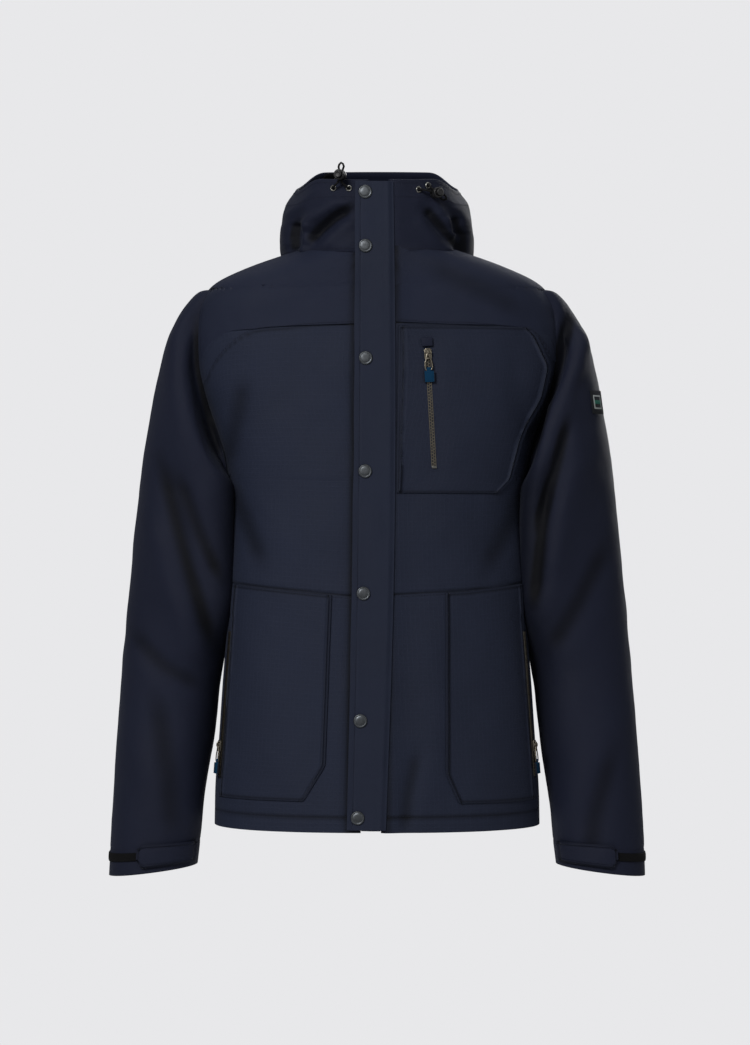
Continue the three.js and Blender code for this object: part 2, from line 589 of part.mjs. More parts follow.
// ---- Pocket zips: a straight zip in its own frame, with a slider, a ring puller and a fabric tab ----
const TAPE_FRONT = -0.5 - TAPE_THICKNESS;
const CHAIN_FRONT = TAPE_FRONT - SEAM_GAP - SMALL_CHAIN.thickness;
const PLATE_FRONT = CHAIN_FRONT - SEAM_GAP - SMALL_SLIDER.plate;
const PULLER_PIVOT = PLATE_FRONT - 0.2 - PULLER.thickness / 2;

function zipTapeSolid(length, width) {
  return box(width, TAPE_THICKNESS, length, 0, TAPE_FRONT + TAPE_THICKNESS / 2, 0);
}

function zipChainSolid(length) {
  const centre = CHAIN_FRONT + SMALL_CHAIN.thickness / 2;
  return box(SMALL_CHAIN.width, SMALL_CHAIN.thickness, length - 4, 0, centre, 0);
}

// The slider's plate with two ears that carry the puller's crossbar between them.
function zipSliderGeometry() {
  const plate = box(SMALL_SLIDER.width, SMALL_SLIDER.plate, SMALL_SLIDER.length, 0,
    PLATE_FRONT + SMALL_SLIDER.plate / 2, 0);
  let slider = solidOf(plate);
  for (const side of [-1, 1]) {
    const ear = box(1.2, 3, 3.4, side * (SMALL_SLIDER.width / 2 - 0.6), PLATE_FRONT - 1.4, 1);
    slider = slider.add(solidOf(ear));
  }
  return geometryOf(slider);
}

// A flat ring that hangs from its narrow crossbar at the slider's ears.
function zipPullerGeometry() {
  const bar = SMALL_SLIDER.width - 2.4 - 2 * SEAM_GAP;
  const barTop = 0.5;
  const wide = PULLER.width;
  const long = PULLER.length;
  const outline = new THREE.Shape([[-bar / 2, barTop], [-bar / 2, -3], [-wide / 2, -6], [-wide / 2, -long + 2],
    [-wide / 2 + 2, -long], [wide / 2 - 2, -long], [wide / 2, -long + 2], [wide / 2, -6], [bar / 2, -3],
    [bar / 2, barTop]].map(([x, y]) => new THREE.Vector2(x, y)));
  const hole = new THREE.Path().absellipse(0, -long + 7, PULLER.hole / 2, PULLER.hole, 0, Math.PI * 2);
  outline.holes.push(hole);
  const geometry = new THREE.ExtrudeGeometry(outline, { depth: PULLER.thickness, bevelEnabled: false,
    curveSegments: 6 });
  return geometry.rotateX(Math.PI / 2).translate(0, PULLER.thickness / 2, 0);
}

function pullTabGeometry() {
  const corner = 2.5;
  const half = PULL_TAB.width / 2;
  const shape = new THREE.Shape();
  shape.moveTo(-half, 0);
  shape.lineTo(-half, -PULL_TAB.length + corner);
  shape.quadraticCurveTo(-half, -PULL_TAB.length, -half + corner, -PULL_TAB.length);
  shape.lineTo(half - corner, -PULL_TAB.length);
  shape.quadraticCurveTo(half, -PULL_TAB.length, half, -PULL_TAB.length + corner);
  shape.lineTo(half, 0);
  const geometry = new THREE.ExtrudeGeometry(shape, { depth: PULL_TAB.thickness, bevelEnabled: false,
    curveSegments: 3 });
  return geometry.rotateX(Math.PI / 2).translate(0, PULL_TAB.thickness / 2, -PULLER.length - SEAM_GAP);
}

const chestFrame = chestZipFrame();

function chestZipFrame() {
  const top = -CHEST_ZIP.topDrop;
  const bottom = top - CHEST_ZIP.length;
  const footAngle = frontAngleAt(CHEST_ZIP.footX, bottom);
  return surfaceFrame(footAngle, bottom, frontAngleAt(CHEST_ZIP.headX, top), top);
}

function addChestZip() {
  const { length, tape } = CHEST_ZIP;
  chestFrame.add(namedMesh('chest_zip_tape', zipTapeSolid(length, tape), tapeFabric()));
  chestFrame.add(namedMesh('chest_zip_chain', zipChainSolid(length), zipMetal()));
  const sliderZ = length / 2 - ZIP_STOP_MARGIN - SMALL_SLIDER.length / 2;
  const slider = namedMesh('chest_zip_slider', zipSliderGeometry(), zipMetal());
  slider.position.set(0, 0, sliderZ);
  const puller = namedMesh('chest_zip_puller', zipPullerGeometry(), zipMetal());
  const tab = namedMesh('chest_zip_tab', pullTabGeometry(), tabFabric());
  for (const mesh of [puller, tab]) {
    mesh.position.set(0, PULLER_PIVOT, sliderZ);
  }
  chestFrame.add(slider, puller, tab);
  return chestFrame;
}

const sideZipTop = -WAIST_DROP - SIDE_ZIP.topBelowWaist;
const sideZipLength = BODY_LENGTH - WAIST_DROP - SIDE_ZIP.topBelowWaist - SIDE_ZIP.hemGap;
const sideFrames = { [-1]: sideZipFrame(-1), [1]: sideZipFrame(1) };

function sideZipFrame(side) {
  const angle = side * SIDE_ZIP.angle;
  return surfaceFrame(angle, sideZipTop - sideZipLength, angle, sideZipTop);
}

function addSideZip(name, side) {
  const frame = sideFrames[side];
  const tape = solidOf(zipTapeSolid(sideZipLength, SIDE_ZIP.tape));
  const chain = solidOf(box(SMALL_CHAIN.width, SMALL_CHAIN.thickness + SEAM_GAP + 0.1, sideZipLength - 4, 0,
    TAPE_FRONT - (SMALL_CHAIN.thickness + SEAM_GAP - 0.1) / 2, 0));
  frame.add(namedMesh(`${name}_side_zip_tape`, geometryOf(tape.add(chain)), tapeFabric()));
  const sliderZ = -sideZipLength / 2 + ZIP_STOP_MARGIN + SMALL_SLIDER.length / 2 + 24;
  const slider = namedMesh(`${name}_side_zip_slider`, zipSliderGeometry(), zipMetal());
  slider.position.set(0, 0, sliderZ);
  const ring = solidOf(zipPullerGeometry());
  const joined = ring.add(solidOf(pullTabGeometry().translate(0, 0, 1.2)));
  const puller = namedMesh(`${name}_side_zip_puller`, geometryOf(joined), zipMetal());
  puller.position.set(0, PULLER_PIVOT, sliderZ);
  frame.add(slider, puller);
  return frame;
}

// ---- Patch pockets: a second layer that follows the body ----
function pocketLayer() {
  const outer = fabricTube(bodyStack, BODY_SIDES, -POCKET_GAP - POCKET_THICKNESS);
  return outer.subtract(fabricTube(bodyStack, BODY_SIDES, -POCKET_GAP, 40, 40));
}

function frontOnly(corners) {
  return frontPrism(corners, -400, bodyStack[0].middle);
}

function addPockets(group) {
  const layer = pocketLayer();
  const chest = CHEST_POCKET;
  const top = -YOKE_DROP - SEAM_GAP - 4;
  const bottom = -chest.bottomDrop;
  const chestOutline = frontOnly([[chest.inner, bottom], [chest.outer - chest.chamfer, bottom],
    [chest.outer, bottom + chest.chamfer], [chest.outer, top - 10], [100, top], [chest.inner, top]]);
  const slot = box(CHEST_ZIP.tape + 2 * SEAM_GAP, 40, CHEST_ZIP.length + 2 * SEAM_GAP);
  const chestSlot = solidOf(slot.applyMatrix4(chestFrame.matrixWorld));
  const chestPocket = layer.intersect(chestOutline).subtract(chestSlot);
  group.add(namedMesh('chest_pocket', geometryOf(chestPocket), shellFabric()));
  const hips = [['right', -1, HIP_POCKET.rightInner], ['left', 1, HIP_POCKET.leftInner]];
  for (const [name, side, inner] of hips) {
    const foot = HEM_Z + HIP_POCKET.hemGap;
    const head = -WAIST_DROP - HIP_POCKET.seamGap;
    const corners = [[inner + side * HIP_POCKET.chamfer, foot], [side * 250, foot], [side * 250, head],
      [inner, head], [inner, foot + HIP_POCKET.chamfer]];
    const outline = frontOnly(side > 0 ? corners : corners.reverse());
    const beyondZip = box(400, 60, 600, side * (200 - SIDE_ZIP.tape / 2 - SEAM_GAP), 0, 0);
    const zipSide = solidOf(beyondZip.applyMatrix4(sideFrames[side].matrixWorld));
    const pocket = layer.intersect(outline).subtract(zipSide);
    group.add(namedMesh(`${name}_hip_pocket`, geometryOf(pocket), shellFabric()));
  }
}

// ---- Cuffs: a tab over a band, both following the sleeve ----
function sleeveLayer(side, from, thickness) {
  const stack = sleeveStacks[side];
  const outer = fabricTube(stack, SLEEVE_SIDES, -from - thickness);
  return outer.subtract(fabricTube(stack, SLEEVE_SIDES, -from));
}

function addCuff(group, name, side) {
  const cuff = sleeveStacks[side][0];
  const tabHeight = CUFF_TAB.height;
  const tabX = cuff.x + (side * (CUFF_TAB.free - CUFF_TAB.sewn)) / 2;
  const tabBox = box(CUFF_TAB.free + CUFF_TAB.sewn, 200, tabHeight, tabX, cuff.middle - 100 - 5,
    cuff.z + CUFF_TAB.aboveEdge + tabHeight / 2);
  const bandOuter = CUFF_BAND.thickness + POCKET_GAP;
  const tab = sleeveLayer(side, bandOuter + SEAM_GAP, CUFF_TAB.thickness).intersect(solidOf(tabBox));
  group.add(namedMesh(`${name}_cuff_tab`, geometryOf(tab), yokeFabric()));
  const bandX = cuff.x + side * (100 - CUFF_BAND.inner);
  const bandBox = box(200, 200, CUFF_BAND.height, bandX, cuff.middle - 100 + 25,
    cuff.z + CUFF_BAND.aboveEdge + CUFF_BAND.height / 2);
  const band = sleeveLayer(side, POCKET_GAP, CUFF_BAND.thickness).intersect(solidOf(bandBox));
  group.add(namedMesh(`${name}_cuff_band`, geometryOf(band), cordFabric()));
}

// ---- Hood cord: two eyelets, a loop of cord and a spring lock on each side of the collar ----
// A frame on the collar with x across, -y out of the fabric and z upright.
function collarFrame(x, drop) {
  const z = COLLAR_HEIGHT - drop;
  const level = { ...hoodStack[5], z, front: frontY(z), tiltY: 0 };
  const at = (turn) => new THREE.Vector3(...levelPoint(level, Math.sin(turn), -Math.cos(turn), 0));
  let angle = 0;
  while (Math.abs(at(angle).x) < Math.abs(x)) {
    angle += 0.005 * Math.sign(x);
  }
  const across = at(angle + 0.05).sub(at(angle - 0.05)).normalize();
  const inward = new THREE.Vector3(0, 0, 1).cross(across);
  const frame = new THREE.Group();
  frame.position.copy(at(angle));
  const upright = new THREE.Vector3(0, 0, 1);
  frame.quaternion.setFromRotationMatrix(new THREE.Matrix4().makeBasis(across, inward, upright));
  frame.updateMatrixWorld(true);
  return frame;
}

function eyeletFrames(name) {
  return EYELETS[name].map(([x, drop]) => collarFrame(x, drop));
}

function eyeletHole(frame) {
  const hole = new THREE.CylinderGeometry(EYELET.inner + 0.6, EYELET.inner + 0.6, 20, 10);
  return solidOf(hole.applyMatrix4(frame.matrixWorld));
}

// A washer against the collar's face with a short barrel through it.
function eyeletGeometry() {
  const barrel = EYELET.inner + 0.3;
  const profile = [[EYELET.inner, -1], [barrel, -1], [barrel, 0.3], [EYELET.outer, 0.3],
    [EYELET.outer, EYELET.thickness - 0.4], [EYELET.inner + 0.6, EYELET.thickness],
    [EYELET.inner, EYELET.thickness - 0.4], [EYELET.inner, -1]];
  return roundPart(profile, 12).rotateX(Math.PI);
}

function addEyelets(group) {
  const frames = [...eyeletFrames('right'), ...eyeletFrames('left')];
  frames.forEach((frame, index) => {
    frame.add(namedMesh(`eyelet_${index + 1}`, eyeletGeometry(), snapMetal()));
    group.add(frame);
  });
}

// The lock's frame: z along the cord away from the eyelets, -y out of the collar.
function lockFrame(name) {
  const [first, second] = EYELETS[name];
  const frame = collarFrame((first[0] + second[0]) / 2, (first[1] + second[1]) / 2);
  frame.translateY(-LOCK_STANDOFF);
  frame.rotateY(Math.PI / 2 - LOCK_ANGLE[name]);
  frame.translateZ(LOCK_REACH);
  frame.updateMatrixWorld(true);
  return frame;
}

// A short barrel that stands out from the collar: the cord runs across it, and the button enters its end.
function lockGeometry() {
  const length = LOCK.inner + LOCK.outer;
  const barrel = new THREE.CylinderGeometry(LOCK.radius, LOCK.radius, length, 14);
  barrel.translate(0, (LOCK.inner - LOCK.outer) / 2, 0);
  const wellRadius = BUTTON.radius + SEAM_GAP;
  const well = new THREE.CylinderGeometry(wellRadius, wellRadius, LOCK.outer, 12);
  well.translate(0, -LOCK.outer / 2 - LOCK.boreDepth / 2 + 0.1, 0);
  const cordWay = box(LOCK.boreWidth, LOCK.boreDepth, 40);
  return geometryOf(solidOf(barrel).subtract(solidOf(well)).subtract(solidOf(cordWay)));
}

function buttonGeometry() {
  const innerEnd = LOCK.boreDepth / 2 + SEAM_GAP + BUTTON.travel;
  const button = new THREE.CylinderGeometry(BUTTON.radius, BUTTON.radius, BUTTON.length, 12);
  return button.translate(0, -innerEnd - BUTTON.length / 2, 0);
}

function addCordLock(group, name) {
  const frame = lockFrame(name);
  group.add(namedMesh(`${name}_cord`, cordGeometry(name, frame.matrixWorld.clone()), cordFabric()));
  frame.add(namedMesh(`${name}_cord_lock`, lockGeometry(), blackPlastic()));
  frame.add(namedMesh(`${name}_lock_button`, buttonGeometry(), blackPlastic()));
  group.add(frame);
}

// The cord comes out of one eyelet, runs through the lock, turns beyond it and goes back into the other.
function cordGeometry(name, lockMatrix) {
  const inLock = (x, z) => new THREE.Vector3(x, 0, z).applyMatrix4(lockMatrix);
  const [first, second] = eyeletFrames(name);
  const out = (frame, distance) => new THREE.Vector3(0, -distance, 0).applyMatrix4(frame.matrixWorld);
  const near = inLock(CORD_STRAND_OFFSET, 0).distanceTo(first.position);
  const far = inLock(-CORD_STRAND_OFFSET, 0).distanceTo(first.position);
  const side = near < far ? CORD_STRAND_OFFSET : -CORD_STRAND_OFFSET;
  const edge = LOCK.radius;
  const there = [out(first, -0.5), out(first, 3.5), inLock(side * 1.05, -edge - 1.5), inLock(side, -edge + 2),
    inLock(side, edge - 1), inLock(side * 1.7, edge + CORD_LOOP / 2)];
  const back = [inLock(-side * 1.7, edge + CORD_LOOP / 2), inLock(-side, edge - 1), inLock(-side, -edge + 2),
    inLock(-side * 1.05, -edge - 1.5), out(second, 3.5), out(second, -0.5)];
  const path = new THREE.CatmullRomCurve3([...there, inLock(0, edge + CORD_LOOP), ...back], false, 'centripetal');
  const section = new THREE.Shape();
  section.absarc(0, 0, CORD_DIAMETER / 2, 0, Math.PI * 2);
  return new THREE.ExtrudeGeometry(section, { steps: 34, extrudePath: path, curveSegments: 4 });
}

// ---- Badge on the wearer's left sleeve and hang loop in the neck ----
function addBadge(group) {
  const stack = sleeveStacks[1];
  const index = stack.findIndex((level) => level.z > -BADGE.drop);
  const lower = stack[index - 1];
  const upper = stack[index];
  const angle = BADGE.angle;
  const at = (level, turn) => new THREE.Vector3(...levelPoint(level, Math.sin(turn), -Math.cos(turn), 0));
  const up = at(upper, angle).sub(at(lower, angle)).normalize();
  const around = at(lower, angle + 0.1).sub(at(lower, angle - 0.1));
  const inward = up.clone().cross(around).normalize();
  const share = (-BADGE.drop - lower.z) / (upper.z - lower.z);
  const centre = at(lower, angle).lerp(at(upper, angle), share);
  const badge = namedMesh('sleeve_badge', box(BADGE.width, BADGE.thickness, BADGE.height), badgeFabric());
  badge.position.copy(centre.addScaledVector(inward, -BADGE.thickness - 1.2));
  const across = inward.clone().cross(up);
  badge.quaternion.setFromRotationMatrix(new THREE.Matrix4().makeBasis(across, inward, up));
  group.add(badge);
}

const loopTop = LOOP.height - LOOP.footDrop;

function addHangLoop(group) {
  const bar = box(LOOP.width, LOOP.thickness, LOOP.strip, 0, LOOP.y, loopTop + LOOP.strip / 2);
  let loop = solidOf(bar);
  for (const side of [-1, 1]) {
    const legX = (side * (LOOP.width - LOOP.strip)) / 2;
    const leg = box(LOOP.strip, LOOP.thickness, LOOP.height + 1, legX, LOOP.y,
      loopTop - LOOP.height / 2 + 0.5);
    loop = loop.add(solidOf(leg));
  }
  group.add(namedMesh('hang_loop', geometryOf(loop), liningFabric()));
}

// ---- The whole jacket, with its origin under the hang loop's bar ----
const jacket = new THREE.Group();
addShellPanels(jacket);
addBodyLining(jacket);
addHood(jacket);
addStormFlap(closure);
addSnaps(closure);
addMainZip(closure);
addUnderPlacket(closure);
jacket.add(closure);
jacket.add(addChestZip());
jacket.add(addSideZip('right', -1));
jacket.add(addSideZip('left', 1));
addPockets(jacket);
addCuff(jacket, 'right', -1);
addCuff(jacket, 'left', 1);
addEyelets(jacket);
addCordLock(jacket, 'right');
addCordLock(jacket, 'left');
addBadge(jacket);
addHangLoop(jacket);
jacket.position.set(0, -LOOP.y, -loopTop);

export default jacket;
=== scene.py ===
import math

import bmesh
import bpy
import numpy as np
from mathutils import Matrix, Vector


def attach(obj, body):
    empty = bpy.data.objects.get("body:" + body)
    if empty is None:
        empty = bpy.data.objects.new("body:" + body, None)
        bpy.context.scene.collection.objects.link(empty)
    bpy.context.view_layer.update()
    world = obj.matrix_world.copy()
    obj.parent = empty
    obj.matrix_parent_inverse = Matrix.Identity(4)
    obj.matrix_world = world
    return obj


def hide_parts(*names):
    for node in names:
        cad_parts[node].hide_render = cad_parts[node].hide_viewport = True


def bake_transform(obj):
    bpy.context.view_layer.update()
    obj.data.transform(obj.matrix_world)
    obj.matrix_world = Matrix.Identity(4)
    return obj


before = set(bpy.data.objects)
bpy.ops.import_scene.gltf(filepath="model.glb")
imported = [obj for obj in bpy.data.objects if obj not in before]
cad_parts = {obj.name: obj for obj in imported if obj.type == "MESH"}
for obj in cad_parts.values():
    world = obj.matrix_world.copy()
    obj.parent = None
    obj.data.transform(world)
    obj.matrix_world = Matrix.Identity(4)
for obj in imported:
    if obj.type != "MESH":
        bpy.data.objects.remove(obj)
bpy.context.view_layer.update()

# The garment is worked out in millimetres from the neck seam, front towards -Y; the frame's origin
# is the hang loop's bar, which is here in garment millimetres.
ORIGIN = np.array([0.0, 45.5, 6.0])


def to_frame(points):
    return (np.asarray(points, float) - ORIGIN) / 1000.0


# ---- Camera, stage and light ----
SENSOR_HEIGHT = 36.0
CAMERA_AWAY = 3500.0
PICTURE_HEIGHT = 1201.75  # millimetres at the garment's front that the picture's height covers
CAMERA_PLACE = (-0.0023, -3.5455, -0.3125)
WORLD_LIGHT = 0.16  # how strongly the backdrop lights the garment; the camera sees it at full strength
FLOOR_RADIUS, FLOOR_Z = 1.6, -1.25
# Name, place, aim, size in metres and power in watts.
LIGHTS = (("key", (-1.3, -2.9, 1.5), (0, 0, -0.25), 1.1, 70),
          ("fill", (2.4, -2.4, 0.3), (0, 0, -0.3), 1.8, 9),
          ("top", (0.2, 0.8, 2.2), (0, 0, -0.1), 1.6, 16),
          ("back", (1.2, 2.6, 0.6), (0, 0, -0.3), 1.8, 22))


def add_camera():
    data = bpy.data.cameras.new("camera")
    data.sensor_fit = "VERTICAL"
    data.sensor_height = SENSOR_HEIGHT
    data.lens = SENSOR_HEIGHT * CAMERA_AWAY / PICTURE_HEIGHT
    camera = bpy.data.objects.new("camera", data)
    camera.location = CAMERA_PLACE
    camera.rotation_euler = (math.pi / 2, 0, 0)
    bpy.context.scene.collection.objects.link(camera)
    bpy.context.scene.camera = camera


def srgb(red, green, blue):
    return tuple(((c / 255 + 0.055) / 1.055) ** 2.4 for c in (red, green, blue)) + (1.0,)


def add_stage():
    world = bpy.data.worlds.new("studio")
    bpy.context.scene.world = world
    world.use_nodes = True
    background = world.node_tree.nodes["Background"]
    background.inputs[0].default_value = srgb(232, 232, 234)
    seen = world.node_tree.nodes.new("ShaderNodeLightPath")
    amount = world.node_tree.nodes.new("ShaderNodeMapRange")
    amount.inputs["To Min"].default_value = WORLD_LIGHT
    amount.inputs["To Max"].default_value = 1.0
    world.node_tree.links.new(seen.outputs["Is Camera Ray"], amount.inputs["Value"])
    world.node_tree.links.new(amount.outputs[0], background.inputs[1])
    mesh = bpy.data.meshes.new("floor")
    tool = bmesh.new()
    bmesh.ops.create_circle(tool, cap_ends=True, radius=FLOOR_RADIUS, segments=96)
    tool.to_mesh(mesh)
    tool.free()
    floor = bpy.data.objects.new("floor", mesh)
    floor.location = (0, 0, FLOOR_Z)
    bpy.context.scene.collection.objects.link(floor)
    material = bpy.data.materials.new("floor")
    material.use_nodes = True
    shader = material.node_tree.nodes["Principled BSDF"]
    shader.inputs["Base Color"].default_value = (0.8, 0.8, 0.81, 1)
    shader.inputs["Roughness"].default_value = 0.8
    mesh.materials.append(material)
    for name, place, aim, size, power in LIGHTS:
        light = bpy.data.lights.new(name, "AREA")
        light.size = size
        light.energy = power
        lamp = bpy.data.objects.new(name, light)
        lamp.location = place
        lamp.rotation_euler = (Vector(aim) - Vector(place)).to_track_quat("-Z", "Y").to_euler()
        bpy.context.scene.collection.objects.link(lamp)


add_camera()
add_stage()
bpy.context.scene.view_settings.view_transform = "Standard"


# ---- Materials ----
class Nodes:
    def __init__(self, name):
        self.material = bpy.data.materials.new(name)
        self.material.use_nodes = True
        self.tree = self.material.node_tree
        self.shader = self.tree.nodes["Principled BSDF"]

    def add(self, kind, settings=None, **inputs):
        node = self.tree.nodes.new(kind)
        for key, value in (settings or {}).items():
            setattr(node, key, value)
        for key, value in inputs.items():
            self.feed(node, key, value)
        return node

    def feed(self, node, key, value):
        name = int(key[1:]) if key[0] == "i" and key[1:].isdigit() else key.replace("_", " ")
        socket = node.inputs[name]
        if isinstance(value, bpy.types.NodeSocket):
            self.tree.links.new(value, socket)
        else:
            socket.default_value = value

    def math(self, operation, a, b=0.0):
        return self.add("ShaderNodeMath", {"operation": operation}, i0=a, i1=b).outputs[0]

    def times(self, a, b):
        return self.math("MULTIPLY", a, b)

    def noise(self, vector, scale, detail):
        node = self.add("ShaderNodeTexNoise", Vector=vector, Scale=scale, Detail=detail)
        return node.outputs["Fac"]

    def ramp(self, factor, low, high, a, b):
        node = self.add("ShaderNodeMapRange", {"clamp": True})
        for key, value in zip(("From Min", "From Max", "To Min", "To Max"), (low, high, a, b)):
            node.inputs[key].default_value = value
        self.feed(node, "Value", factor)
        return node.outputs[0]

    def tint(self, factor, dark, light):
        return self.add("ShaderNodeMix", {"data_type": "RGBA"}, i0=factor, i6=dark, i7=light).outputs[2]

    def bump(self, height, distance, strength, normal=None):
        node = self.add("ShaderNodeBump", Height=height, Distance=distance, Strength=strength)
        if normal is not None:
            self.feed(node, "Normal", normal)
        return node.outputs[0]


def shade(colour, by):
    return tuple(c * by for c in colour[:3]) + (1.0,)


def cloth(name, colour, thread=0.0007, grid=0.0, rough=0.62, weave=0.00012, mottle=0.12):
    """Woven cloth over a UV map in metres: crossing threads, an optional ripstop grid and mottling.
    A second UV map says how much painted shade darkens each place: shadow in the valleys of folds, in seam
    grooves and along edges."""
    made = Nodes(name)
    uv = made.add("ShaderNodeTexCoord").outputs["UV"]
    parts = made.add("ShaderNodeSeparateXYZ", Vector=uv)
    u, v = parts.outputs[0], parts.outputs[1]
    turn = 2 * math.pi / thread
    warp = made.math("SINE", made.times(u, turn))
    weft = made.math("SINE", made.times(v, turn))
    crossing = made.times(warp, weft)
    broad = made.noise(uv, 9.0, 4.0)
    fine = made.noise(uv, 420.0, 2.0)
    height = made.math("ADD", made.times(crossing, 0.5), made.times(fine, 0.8))
    factor = made.math("ADD", made.times(broad, 0.75), made.times(fine, 0.25))
    if grid:
        lines = []
        for axis in (u, v):
            cell = made.math("FRACT", made.math("DIVIDE", axis, grid))
            away = made.math("ABSOLUTE", made.math("SUBTRACT", cell, 0.5))
            lines.append(made.ramp(away, 0.38, 0.47, 0.0, 1.0))
        line = made.math("MAXIMUM", lines[0], lines[1])
        height = made.math("ADD", height, made.times(line, 1.4))
        factor = made.math("ADD", factor, made.times(line, 0.22))
    mix = made.ramp(factor, 0.3, 0.8, 0.0, 1.0)
    colours = made.tint(mix, shade(colour, 1 - mottle), shade(colour, 1 + mottle))
    crease = made.add("ShaderNodeUVMap", {"uv_map": "crease"}).outputs[0]
    depth = made.add("ShaderNodeSeparateXYZ", Vector=crease).outputs[0]
    # Painted shade: where the second UV map says so, the colour darkens towards an eighth of itself.
    colours = made.tint(depth, colours, shade(colour, 0.12))
    made.feed(made.shader, "Base Color", colours)
    made.feed(made.shader, "Roughness", made.ramp(broad, 0.3, 0.7, rough - 0.05, rough + 0.07))
    made.shader.inputs["Sheen Weight"].default_value = 0.05
    made.shader.inputs["Sheen Roughness"].default_value = 0.45
    made.shader.inputs["Sheen Tint"].default_value = (0.62, 0.68, 0.85, 1)
    made.shader.inputs["Specular IOR Level"].default_value = 0.16
    crumple = made.bump(made.noise(uv, 34.0, 3.0), 0.0016, 0.5)
    made.feed(made.shader, "Normal", made.bump(height, weave, 0.7, crumple))
    return made.material


METAL_GRAIN = 700.0


def metal(name, colour, rough, wear=0.25):
    """Cast and tumbled metal: cloudy tarnish with brighter worn places and fine pits."""
    made = Nodes(name)
    place = made.add("ShaderNodeTexCoord").outputs["Object"]
    cloud = made.noise(place, METAL_GRAIN * 0.35, 4.0)
    pits = made.noise(place, METAL_GRAIN * 3.0, 2.0)
    mix = made.ramp(cloud, 0.32, 0.68, 0.0, 1.0)
    made.feed(made.shader, "Base Color", made.tint(mix, shade(colour, 1 - wear), shade(colour, 1 + wear)))
    made.feed(made.shader, "Roughness", made.ramp(cloud, 0.3, 0.7, rough + 0.1, rough - 0.06))
    made.shader.inputs["Metallic"].default_value = 1.0
    made.feed(made.shader, "Normal", made.bump(pits, 0.00006, 0.5))
    return made.material


def plastic(name, colour, rough=0.4):
    made = Nodes(name)
    place = made.add("ShaderNodeTexCoord").outputs["Object"]
    grain = made.noise(place, 2600.0, 2.0)
    cloud = made.noise(place, 160.0, 3.0)
    made.feed(made.shader, "Base Color", made.tint(cloud, shade(colour, 0.8), shade(colour, 1.35)))
    made.feed(made.shader, "Roughness", made.ramp(cloud, 0.3, 0.7, rough - 0.06, rough + 0.1))
    made.feed(made.shader, "Normal", made.bump(grain, 0.00005, 0.6))
    return made.material


def ribbed(name, colour, pitch=0.0011, rough=0.8, depth=0.0002):
    """Tape, webbing or braid: ribs that run one way and a finer cross thread, in its own space."""
    made = Nodes(name)
    place = made.add("ShaderNodeTexCoord").outputs["Object"]
    parts = made.add("ShaderNodeSeparateXYZ", Vector=place)
    over, along = parts.outputs[0], parts.outputs[2]
    rib = made.math("SINE", made.times(along, 2 * math.pi / pitch))
    cross = made.math("SINE", made.times(over, 2 * math.pi / (pitch * 0.6)))
    height = made.math("ADD", rib, made.times(cross, 0.4))
    fuzz = made.noise(place, 900.0, 3.0)
    mix = made.ramp(height, -1.2, 1.2, 0.0, 1.0)
    made.feed(made.shader, "Base Color", made.tint(mix, shade(colour, 0.7), shade(colour, 1.3)))
    made.feed(made.shader, "Roughness", made.ramp(fuzz, 0.3, 0.7, rough - 0.08, rough + 0.08))
    made.shader.inputs["Specular IOR Level"].default_value = 0.2
    made.feed(made.shader, "Normal", made.bump(height, depth, 0.8, made.bump(fuzz, 0.0002, 0.5)))
    return made.material


NAVY = (0.0190, 0.0245, 0.0470)
SHELL = cloth("shell_ripstop", NAVY, grid=0.0052)
# Painted shade: the wearer's left front and its pockets get the same shell cloth painted a tenth darker, for
# the less light that side gets.
SHELL_LEFT_SHADED = cloth("shell_left_painted_shade", shade(NAVY, 0.9), grid=0.0052)
PLACKET = cloth("placket_cloth", shade(NAVY, 0.94))
# Painted shade: the next three are the shell's navy without its ripstop grid, painted darker for the less
# light that the sleeves, the yoke and the hood get. The sleeves' copy also serves the cuff tabs, the
# under-placket and the chest zip's garage.
SHELL_SHADED = cloth("shell_plain_painted_shade", (0.0125, 0.0155, 0.0330), mottle=0.1)
YOKE_SHADED_CLOTH = cloth("yoke_plain_painted_shade", (0.0165, 0.0210, 0.0425), mottle=0.1)
HOOD_SHADED_CLOTH = cloth("hood_plain_painted_shade", (0.0115, 0.0145, 0.0315), mottle=0.1)
LINING = cloth("lining_cloth", (0.0028, 0.0029, 0.0038), thread=0.0005, rough=0.7)
THREAD = ribbed("thread", (0.016, 0.018, 0.034), pitch=0.0006)
GUNMETAL = metal("gunmetal", (0.105, 0.113, 0.122), rough=0.44)
BRASS = metal("antique_brass", (0.24, 0.215, 0.17), rough=0.36, wear=0.4)
NICKEL = metal("eyelet_nickel", (0.26, 0.26, 0.24), rough=0.32)
TAPE = ribbed("zip_tape_weave", (0.012, 0.013, 0.020), pitch=0.0012)
BLUE = ribbed("blue_webbing", (0.002, 0.045, 0.110), pitch=0.0011, depth=0.00025)
BLACK = plastic("black_moulded", (0.010, 0.010, 0.011))
CORD = ribbed("braided_cord", (0.008, 0.008, 0.009), pitch=0.0014, depth=0.0003)
LOOPS = ribbed("loop_tape_pile", (0.007, 0.007, 0.008), pitch=0.0009, rough=0.95, depth=0.0005)
BADGE = cloth("badge_weave", (0.012, 0.014, 0.017), thread=0.0009, weave=0.0003)
BADGE_PALE = cloth("badge_border", (0.42, 0.46, 0.45), thread=0.0009, weave=0.0003)
BADGE_GREEN = cloth("badge_stripe", (0.02, 0.16, 0.11), thread=0.0009, weave=0.0003)


# ---- Making pieces ----
def finish_piece(piece, surface, body="root", nodes=(), smooth=True):
    if surface is not None:
        piece.data.materials.append(surface)
    if smooth:
        for face in piece.data.polygons:
            face.use_smooth = True
    if nodes:
        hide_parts(*nodes)
    if body:
        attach(piece, body)
    return piece


def new_piece(name, mesh):
    piece = bpy.data.objects.new(name, mesh)
    bpy.context.scene.collection.objects.link(piece)
    return piece


